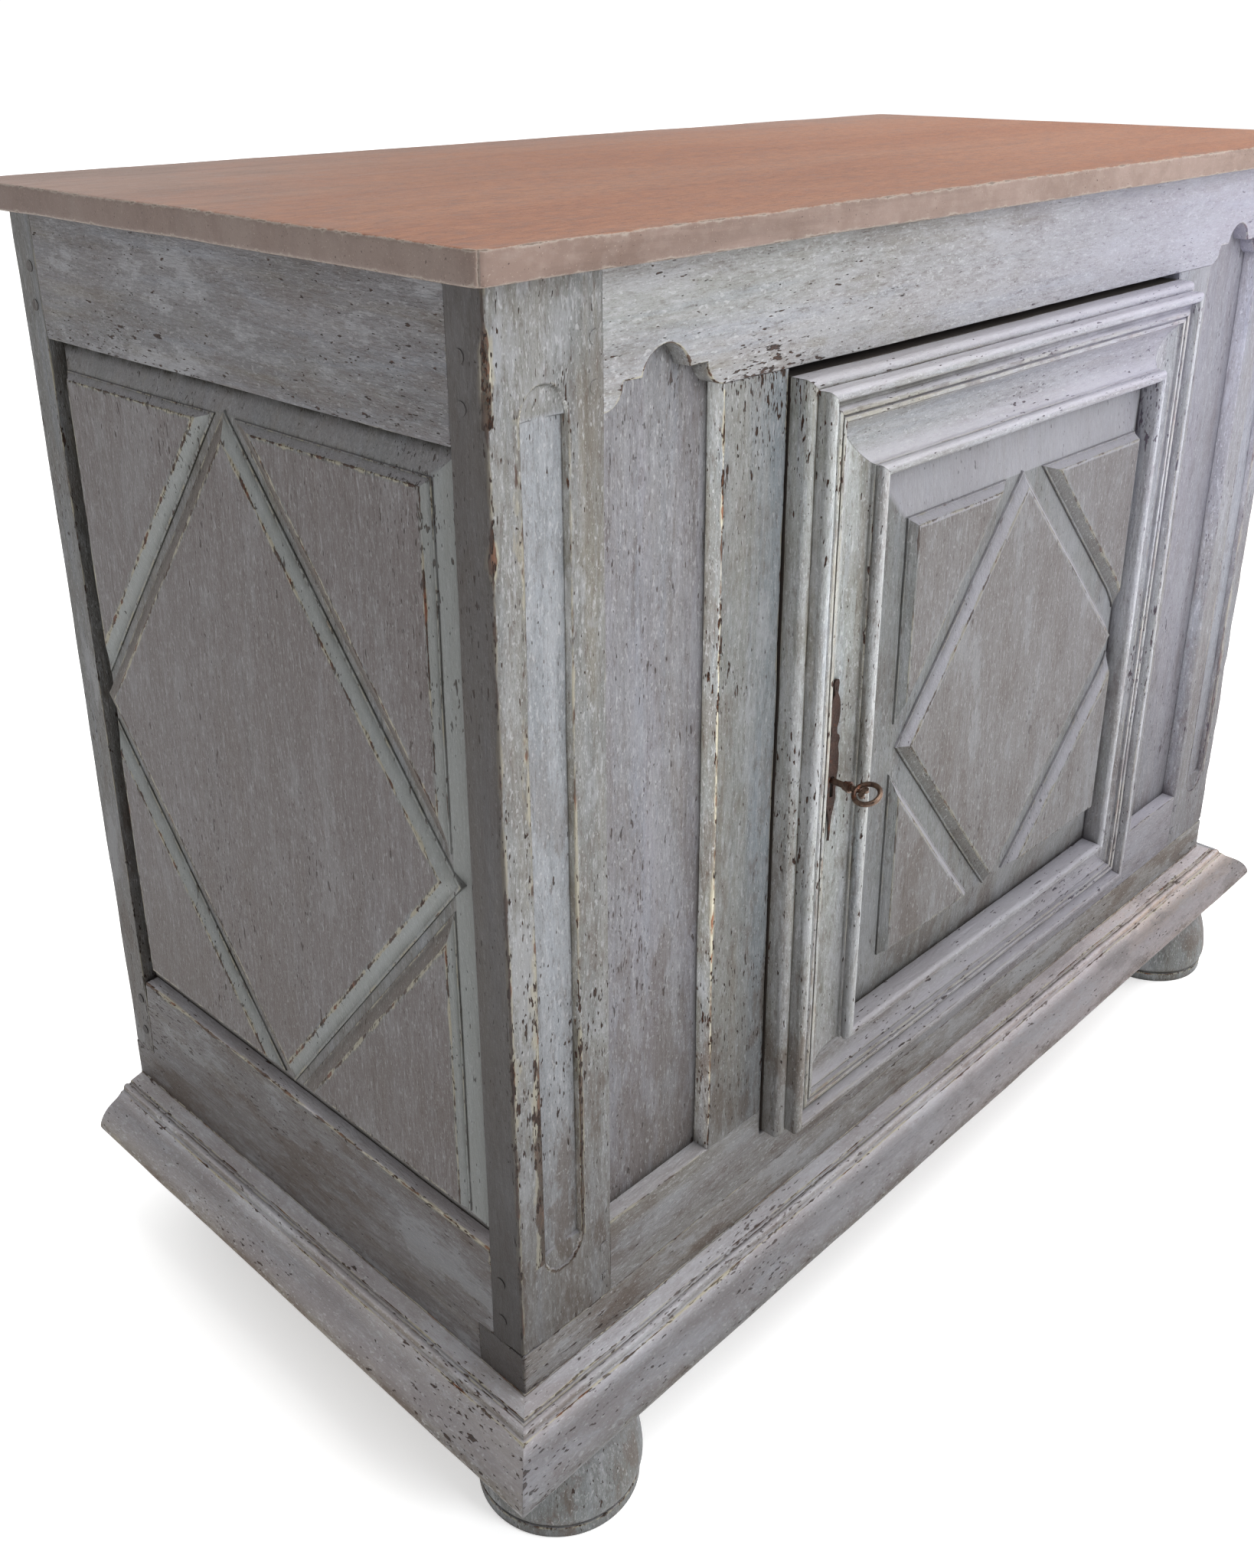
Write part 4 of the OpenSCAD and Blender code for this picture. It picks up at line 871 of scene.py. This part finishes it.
def column_plate(xs, ztop, y0, y1, r):
    xs = np.asarray(xs, float)
    zb = lower_edge(xs)
    low = [(y0 + r + 11, 0), (y0 + r + 4, 0), (y0 + r, 0), (y0 + 0.3 * r, 0.3 * r), (y0, r), (y0, r + 0.9), (y0, r + 2.0), (y0, r + 4.5), (y0, r + 9)]
    V, e, c = [], [], []
    fine = np.linspace(POST, STILE_OUT, 500)
    line = np.column_stack([np.concatenate([-fine, fine]), lower_edge(np.concatenate([fine, fine]))])
    for x, z in zip(xs, zb):
        q = [(y, z + h) for y, h in low]
        q += [(y0, z + 9 + r + (ztop - 3 - z - 9 - r) * k / 5) for k in range(1, 6)]
        q += [(y0, ztop - 0.8), (y0 + 0.8, ztop), (y1 - 0.8, ztop), (y1, ztop - 0.8), (y1, (z + ztop) / 2), (y1, z + 0.8), (y1 - 0.8, z)]
        V.append([(x, y, h) for y, h in q])
    V = np.array(V)
    m = V.shape[1]
    P = V.reshape(-1, 3)
    d = np.full(len(P), 99.0)
    near = (P[:, 2] < 785) & (np.abs(P[:, 0]) > STILE_OUT - 6)
    for i in np.nonzero(near)[0]:
        d[i] = np.min(np.hypot(line[:, 0] - P[i, 0], line[:, 1] - P[i, 2]))
    shaped = (np.abs(P[:, 0]) > STILE_OUT - 1) & (np.abs(P[:, 0]) < POST + 1)
    e = np.where(shaped & (P[:, 1] < y0 + 1.2), np.clip(1.15 - d / 2.2, 0, 1), 0.0)
    e = np.where(~shaped & (P[:, 1] < y0 + 1.2) & (P[:, 2] < 740), 0.35, e)
    c = np.where(shaped & (P[:, 1] > y0 + 5) & (P[:, 2] < 780), 0.45, 0.0)
    F = []
    for k in range(len(xs) - 1):
        for i in range(m):
            j = (i + 1) % m
            F.append((k * m + i, k * m + j, (k + 1) * m + j, (k + 1) * m + i))
    F.append(tuple(m - 1 - i for i in range(m)))
    F.append(tuple((len(xs) - 1) * m + i for i in range(m)))
    return P, F, e, c


half = [POST, POST - 0.4, POST - 1.0] + list(np.arange(POST - 2, POST - 15, -1.5)) + [POST - 15.6, POST - 16.4, POST - 16.9, POST - 17.05]
half += list(np.arange(POST - 18.5, abs(SC) + 24, -1.6)) + [abs(SC) + 22.85, abs(SC) + 22.75, abs(SC) + 22.2] + list(np.arange(abs(SC) + 21.4, abs(SC), -1.5))
right_half = half + [abs(SC)] + [2 * abs(SC) - v for v in half[::-1]]
xs = sorted(set(round(v, 3) for v in [-v for v in right_half] + right_half + list(np.linspace(-STILE_OUT + 14, STILE_OUT - 14, 52)) + [-STILE_OUT + 2, STILE_OUT - 2, -STILE_OUT + 5, STILE_OUT - 5]))
P, F, e, c = column_plate(xs, H, 0, 33, 1.1)
piece("rail_front_top_wood", Shell().add(P, F, e, c), "rail_front_top", "case", M["frame_h"])
nz = DZ0 - 3
outline = [(-POST, 37), (POST, 37), (POST, 104), (STILE_IN, 104), (STILE_IN, nz), (-STILE_IN, nz), (-STILE_IN, 104), (-POST, 104)]
P, F, e = plate(outline, 0, 33, 1.3, 8.0, 1.0, tight=(0, 1, 7))
ledge = (P[:, 2] > 95) & (np.abs(P[:, 0]) > STILE_OUT - 2)
piece("rail_front_bottom_wood", Shell().add(P, F, e * np.where(ledge, 1.0, 0.15)), "rail_front_bottom", "case", M["frame_h"])
for s, nm in ((-1, "left"), (1, "right")):
    lo = (-STILE_OUT, 0, 104) if s < 0 else (STILE_IN, 0, 104)
    hi = (-STILE_IN, 33, 736) if s < 0 else (STILE_OUT, 33, 736)
    P, F, e, V = slab(lo, hi, 0.6, 14, big=[lambda V: ((V[:, 1] < 14) & (V[:, 2] > 108) & (V[:, 2] < 732)).astype(float)], rbig=1.9, seed=43)
    k = np.where((V[:, 2] < 106) | (V[:, 2] > 734), 0.3, 1.0)
    piece(f"stile_inner_{nm}_wood", Shell().add(P, F, e * k), f"stile_inner_{nm}", "case", M["stile_v"])
    lo = (-POST, 15.1, 98) if s < 0 else (STILE_OUT, 15.1, 98)
    hi = (-STILE_OUT, 23.1, 780) if s < 0 else (POST, 23.1, 780)
    P, F, e, V = slab(lo, hi, 0.4, 14, seed=45)
    ax = np.abs(V[:, 0])
    near = np.minimum(np.minimum(ax - STILE_OUT, POST - ax), V[:, 2] - 104)
    piece(f"panel_shaped_{nm}_wood", Shell().add(P, F, e * 0.0, np.clip(1 - near / 4.0, 0, 1) * 0.8), f"panel_shaped_{nm}", "case", M["panel_v"])


# ------------------------------------------------------------------ raised panels
def raised(a, c, r0, m, kx, kz, band, h, bo, bd, extra_ring=()):
    """Plateau a x c (half sizes) with sloping margins m wide and r0 high, then a diamond and four corner fields.
    Drawn in (a, b, height)."""
    sh = Shell()
    rect = [(-a, -c), (a, -c), (a, c), (-a, c)]
    sh.add(*relief(rect, [(0.0, 0.0, 0.0, 1.0), (1.6, 0.35, 0.0, 1.0), (4.2, r0 * 4.2 / m * 0.9, 0, 0.45), (m * 0.5, r0 * 0.47, 0, 0), (m - 1.2, r0 * 0.95, 0.0, 0), (m, r0, 0.25, 0), (m + 1.5, r0, 0, 0)], -6.0, 9.0))
    n = kx * kz / math.hypot(kx, kz)
    s1 = 1 + bd / n
    t1 = s1 + band / n
    hs = [q * h for q in (0.0, 0.20, 0.24, 0.26, 0.32, 0.56, 0.84, 0.96, 1.0, 1.0)]
    di = [q * bd for q in (0.0, 0.03, 0.07, 0.22, 0.28, 0.56, 0.84, 0.95, 1.05)] + [1.05 * bd + 2.6]
    do = [q * bo for q in (0.0, 0.04, 0.09, 0.26, 0.32, 0.58, 0.84, 0.94, 1.07)] + [1.07 * bo + 2.6]
    ed = [0.0, 0.5, 0.75, 0.0, 0.0, 0.0, 0.4, 1.0, 0.8, 0.0]
    cv = [1.0, 0.5, 0.0, 0.55, 0.4, 0.0, 0.0, 0.0, 0.0, 0.0]
    dia = [(0, -kz * s1), (kx * s1, 0), (0, kz * s1), (-kx * s1, 0)]
    rings = [([di[i]] * 4, r0 + hs[i], ed[i], cv[i]) for i in range(len(hs))]
    sh.add(*relief(dia, rings, r0 - 4.0, 7.0, tone=1.0))
    A, C = a - m - 1.0, c - m - 1.0
    tri = np.array([(A, C), (kx * (t1 - C / kz), C), (A, kz * (t1 - A / kx))])
    for sx in (1, -1):
        for sz in (1, -1):
            q = tri * (sx, sz)
            ins = [[do[i], di[i], do[i]] for i in range(len(hs))]
            if sx * sz < 0:
                q = q[::-1]
                ins = [[di[i], do[i], do[i]] for i in range(len(hs))]
            rings = [(ins[i], r0 + hs[i], ed[i], cv[i]) for i in range(len(hs))]
            sh.add(*relief(q, rings, r0 - 4.0, 7.0, steps_in=(0.9, 0.7, 0.4, 0.12), tone=1.0))
    return sh


def stand(sh, f):
    out = Shell()
    V, F, e, c, t = sh.arrays()
    out.add(f(V), F, e, c, t)
    return out


SPZ = (120 + 727) / 2
side_shape = raised(D / 2 - 33, (727 - 120) / 2, 10, 21, 216.5, 264, 7, 6, 6.5, 13.5)
for s, nm in ((-1, "left"), (1, "right")):
    sh = stand(side_shape, lambda V: np.column_stack([s * (HW - 13 + V[:, 2]), D / 2 - V[:, 0], SPZ + V[:, 1]]))
    P, F, e, V = slab((-HW + 13.2, 25, 112.5) if s < 0 else (HW - 22, 25, 112.5), (-HW + 22, D - 25, 736) if s < 0 else (HW - 13.2, D - 25, 736), 0.4, 40)
    sh.add(P, F, e * 0, 1.0)
    piece(f"panel_side_{nm}_wood", sh, f"panel_side_{nm}", "case", M["side_panel"])
door_shape = raised(DX - 80.5, 324 - 80.5, 6, 44, 154, 187, 19, 9, 6, 9)
# the relief sits towards the hinge side, where its margin is narrow
sh = stand(door_shape, lambda V: np.column_stack([np.interp(V[:, 0], [-400, 0, 154, 166.5, 216.5, 400], [-400, 0, 186, 198, 216.5, 400]), -14 - V[:, 2], 406 + V[:, 1]]))
P, F, e, V = slab((-DX + 69, -13.8, DZ0 + 69), (DX - 69, 0, DZ1 - 69), 0.4, 40)
sh.add(P, F, e * 0, 1.0)
piece("door_panel_wood", sh, "door_panel", "door", M["door_panel"])

# ------------------------------------------------------------------ door mouldings
door_prof = [(0, 0), (0, 11)] + arc(7, 12, 7, 180, 92, 10) + [(7.7, 18.6), (8.1, 20.4), (7.8, 24.0)] + arc(12.3, 27.6, 4.6, 195, 50, 12) + [(17.0, 27.4), (18.2, 24.6), (19.6, 23.5), (21.4, 24.0), (22.8, 25.6), (24.4, 26.9), (26.2, 27.2), (27.6, 26.5), (28.1, 24.5), (29.5, 24.4), (29.8, 26.2), (33.1, 26.2), (33.7, 23.6), (34.9, 22.6)] + arc(52.6, 37.6, 23, 221, 321.5, 22) + [(70.8, 26.0), (72.0, 26.2)] + arc(75.8, 30.3, 4.7, 188, 0, 14) + [(80.5, 14), (68.5, 14), (68.5, 0)]


def mitred(side, L, place, mat, node, cuts=()):
    P, F, e, c = sweep(door_prof, lambda u, p: u * 1.0, lambda u, p: L - u, place, 9.0)
    far = np.zeros(len(P))
    sh = Shell().add(P, F, e, c)
    return piece(node + "_wood", sh, node, "door", mat)


mitred("left", DZ1 - DZ0, lambda s, u, p: np.column_stack([-DX + u, -p, DZ0 + s]), M["door_v"], "door_moulding_left")
mitred("right", DZ1 - DZ0, lambda s, u, p: np.column_stack([DX - u, -p, DZ0 + s]), M["door_v"], "door_moulding_right")
mitred("top", 2 * DX, lambda s, u, p: np.column_stack([-DX + s, -p, DZ1 - u]), M["door_h"], "door_moulding_top")
mitred("bottom", 2 * DX, lambda s, u, p: np.column_stack([-DX + s, -p, DZ0 + u]), M["door_h"], "door_moulding_bottom")

# ------------------------------------------------------------------ base
base_prof = [(-40, -58), (-40, 0), (0, 0), (0, -1.8), (12.4, -5.2), (13.2, -7.4), (14.8, -7.4)] + arc(17.6, -9.0, 2.9, 150, 20, 7) + [(20.8, -9.8), (21.4, -11.6), (23.6, -11.9), (25.4, -13.8), (27.6, -15.8), (30.2, -17.5), (33.0, -18.9), (36.0, -20.5), (39.2, -22.6), (42.2, -25.2), (44.9, -28.3), (47.2, -31.8), (48.9, -35.4), (49.8, -38.6), (49.5, -41.0), (48.4, -43.6), (45.2, -48), (41.5, -51.4), (38, -54), (36.5, -58)]
P, F, e, c = sweep(base_prof, lambda u, p: -HW - u, lambda u, p: HW + u, lambda s, u, p: np.column_stack([s, -u, p]), 13.0)
piece("base_moulding_front_wood", Shell().add(P, F, e, c), "base_moulding_front", "case", M["base_h"])
for s, nm in ((-1, "left"), (1, "right")):
    P, F, e, c = sweep(base_prof, lambda u, p: -u * 1.0, lambda u, p: D + 0 * u, lambda q, u, p: np.column_stack([s * (HW + u), q, p]), 13.0)
    piece(f"base_moulding_{nm}_wood", Shell().add(P, F, e, c), f"base_moulding_{nm}", "case", M["base_d"])


# ------------------------------------------------------------------ feet
def foot(x, y, node):
    prof = [(0.01, 0), (30, 0), (52, 0), (56.5, -8), (60.5, -18), (63.6, -28), (66, -38), (67.6, -48), (68.5, -57), (68.4, -63), (67.2, -68.5), (65.2, -72.2), (64.4, -73.2), (64.6, -73.7), (65.8, -73.9), (66.2, -74.8), (66.3, -76.5), (66.3, -79.5), (66.2, -83.2), (65.2, -84.7), (64.2, -85), (40, -85), (0.01, -85)]
    prof = np.array(prof)
    n = 96
    m = len(prof)
    V, e, c = [], [], []
    for i in range(n):
        a = 2 * math.pi * i / n
        V.append(np.column_stack([x + prof[:, 0] * math.cos(a), y + prof[:, 0] * math.sin(a), -58 + prof[:, 1]]))
        ee, cc = np.zeros(m), np.zeros(m)
        ee[(prof[:, 1] < -73.8) & (prof[:, 1] > -75.5)] = 0.9
        ee[(prof[:, 1] < -83) & (prof[:, 0] > 60)] = 0.4
        cc[(prof[:, 1] < -72) & (prof[:, 1] > -73.8)] = 1.0
        cc[(prof[:, 1] > -16) & (prof[:, 0] > 40)] = 0.8
        e.append(ee), c.append(cc)
    V = np.concatenate(V)
    F = []
    for i in range(n):
        j = (i + 1) % n
        for k in range(m - 1):
            F.append((i * m + k, i * m + k + 1, j * m + k + 1, j * m + k))
    F.append(tuple(i * m for i in range(n - 1, -1, -1)))
    F.append(tuple(i * m + m - 1 for i in range(n)))
    P = V.copy()
    P += wobble(V * (1, 1, 1) + (x, y, 0), 0.5)
    P[:, 2] = np.where(V[:, 2] < -142.9, V[:, 2], P[:, 2])
    sh = Shell().add(P, F, np.concatenate(e), np.concatenate(c))
    piece(node + "_wood", sh, node, "case", M["foot"], wob=0)


foot(-HW + 55.8, 24.1, "foot_front_left")
foot(HW - 55.8, 24.1, "foot_front_right")
foot(-HW + 78, D - 80, "foot_back_left")
foot(HW - 78, D - 80, "foot_back_right")

# ------------------------------------------------------------------ top board
X0, X1, Y0, Y1 = -HW - 30, HW + 30, -32, D + 7
P, F, e, V = slab((X0, Y0, H), (X1, Y1, H + 20), 1.4, 17, seed=51, big=[lambda V: np.ones(len(V))], rbig=2.6)
# rounded corners in plan, uneven left end
R = 9.0
pa, pb = np.clip(P[:, 0], X0 + R, X1 - R), np.clip(P[:, 1], Y0 + R, Y1 - R)
va, vb = P[:, 0] - pa, P[:, 1] - pb
eu, ch = np.hypot(va, vb), np.maximum(abs(va), abs(vb))
k = np.where(eu > 1e-9, ch / np.maximum(eu, 1e-9), 1.0)
P[:, 0], P[:, 1] = pa + va * k, pb + vb * k
yy = (P[:, 1] - Y0) / (Y1 - Y0)
bow = 4.0 * np.sin(math.pi * np.clip(yy, 0, 1)) + 1.2 * vnoise(P * (0, 1, 0), 0.012, 8)
P[:, 0] += bow * np.clip(1 - (P[:, 0] - X0) / 60.0, 0, 1)
side_tone = (V[:, 2] < H + 19.0) | (e > 0.9)
nick = np.clip(fbm(V, (0.014, 0.014, 0.0), 61, 2) - 0.25, 0, 1) * e * 0.8
P[:, 2] -= nick * (V[:, 2] > H + 10)
sh = Shell().add(P, F, e, 0, np.where(V[:, 2] < H + 19.6, 1.0, 0.0))
piece("top_board_wood", sh, "top_board", "case", M["top"], wob=0.4)

# ------------------------------------------------------------------ carried-over pieces
look = {
    "inner_x": ["rail_back_top", "rail_back_bottom", "sill_back", "bottom_boards", "shelf_boards", "base_back_bar", "base_corner_blocks", "door_stops", "door_rail_top", "door_rail_bottom"],
    "inner_z": ["back_boards", "door_stile_left", "door_stile_right"],
    "inner_y": ["shelf_cleats", "top_cleats", "door_pegs"],
    "iron": ["lock_keeper", "hinge_case_leaves", "hinge_pins", "hinge_door_leaves", "lock_case", "lock_nails", "lock_bolt"],
    "rusty": ["escutcheon", "escutcheon_nails"],
    "key": ["key"],
    "frame_v": ["pegs_carcass"],
}
for m, names in look.items():
    for n in names:
        o = NODES[n]
        if not o.material_slots:
            o.data.materials.append(M[m])
        for sl in o.material_slots:
            sl.material = M[m]

# ------------------------------------------------------------------ camera, floor, light
cam = bpy.data.cameras.new("camera")
cam.sensor_fit = "AUTO"
cam.sensor_width = 36.0
cam.lens = 34.697
cam.shift_x, cam.shift_y = 0.0018, -0.0780
cam.clip_start, cam.clip_end = 0.05, 60
co = bpy.data.objects.new("camera", cam)
right, down, fwd = Vector((0.6933, -0.7206, -0.0031)), Vector((-0.2812, -0.2666, -0.9219)), Vector((0.6635, 0.6400, -0.3875))
rot = Matrix((right, -down, -fwd)).transposed().to_4x4()
co.matrix_world = Matrix.Translation(Vector((-1.1244, -0.8886, 1.0964))) @ rot
scene.collection.objects.link(co)
scene.camera = co

floor_mesh = bpy.data.meshes.new("floor")
S = 14.0
floor_mesh.from_pydata([(-S, -S, 0), (S, -S, 0), (S, S, 0), (-S, S, 0)], [], [(0, 1, 2, 3)])
floor = bpy.data.objects.new("floor", floor_mesh)
scene.collection.objects.link(floor)
ft = Tree("floor_white")
ft.bsdf.inputs["Base Color"].default_value = (0.94, 0.94, 0.94, 1)
# the floor paper glows, more strongly away from the object: painted light that lifts the shadows and whitens the far
# floor
fv = ft.nt.nodes.new("ShaderNodeVectorMath")
fv.operation = "LENGTH"
ft.link(ft.co, fv.inputs[0])
ft.bsdf.inputs["Emission Color"].default_value = (1, 1, 1, 1)
ft.link(ft.ramp(fv.outputs["Value"], 0.25, 1.05, 0.26, 0.66), ft.bsdf.inputs["Emission Strength"])
ft.bsdf.inputs["Roughness"].default_value = 0.9
ft.bsdf.inputs["Specular IOR Level"].default_value = 0.2
floor_mesh.materials.append(ft.mat)


def area(name, pos, target, size, power, color=(1, 1, 1), size_y=None):
    l = bpy.data.lights.new(name, "AREA")
    l.energy = power
    l.color = color
    l.shape = "RECTANGLE"
    l.size = size
    l.size_y = size_y or size
    o = bpy.data.objects.new(name, l)
    d = Vector(target) - Vector(pos)
    o.matrix_world = Matrix.Translation(Vector(pos)) @ d.to_track_quat("-Z", "Y").to_matrix().to_4x4()
    scene.collection.objects.link(o)
    return o


world = bpy.data.worlds.new("studio")
scene.world = world
world.use_nodes = True
wt = world.node_tree
bg = wt.nodes.get("Background") or wt.nodes.new("ShaderNodeBackground")
bg.inputs[0].default_value = (1.0, 1.0, 1.0, 1)
wc = wt.nodes.new("ShaderNodeTexCoord")
wd = wt.nodes.new("ShaderNodeVectorMath")
wd.operation = "DOT_PRODUCT"
wd.inputs[1].default_value = (0.70, 0.66, 0.26)
wr = wt.nodes.new("ShaderNodeMapRange")
wr.interpolation_type = "SMOOTHSTEP"
for i, v in enumerate((-0.35, 0.45, 0.24, 1.06)):
    wr.inputs[i + 1].default_value = v
wt.links.new(wc.outputs["Generated"], wd.inputs[0])
wt.links.new(wd.outputs["Value"], wr.inputs[0])
wt.links.new(wr.outputs[0], bg.inputs[1])
area("overhead", (0.25, -0.7, 3.2), (0, -0.1, 0.9), 2.2, 62, (1.0, 0.99, 0.975))
area("key", (0.35, -3.5, 2.25), (0.0, -0.2, 0.5), 1.5, 84, (0.97, 0.985, 1.0))
area("left", (-2.9, -0.9, 2.5), (-0.4, 0.0, 0.4), 1.8, 13, (1.0, 0.99, 0.98))
area("right", (2.9, -2.2, 1.7), (0.2, -0.25, 0.55), 1.4, 42, (1.0, 0.98, 0.985))

scene.view_settings.view_transform = "Standard"
scene.view_settings.look = "None"
scene.view_settings.exposure = 0.0
scene.view_settings.gamma = 1.0

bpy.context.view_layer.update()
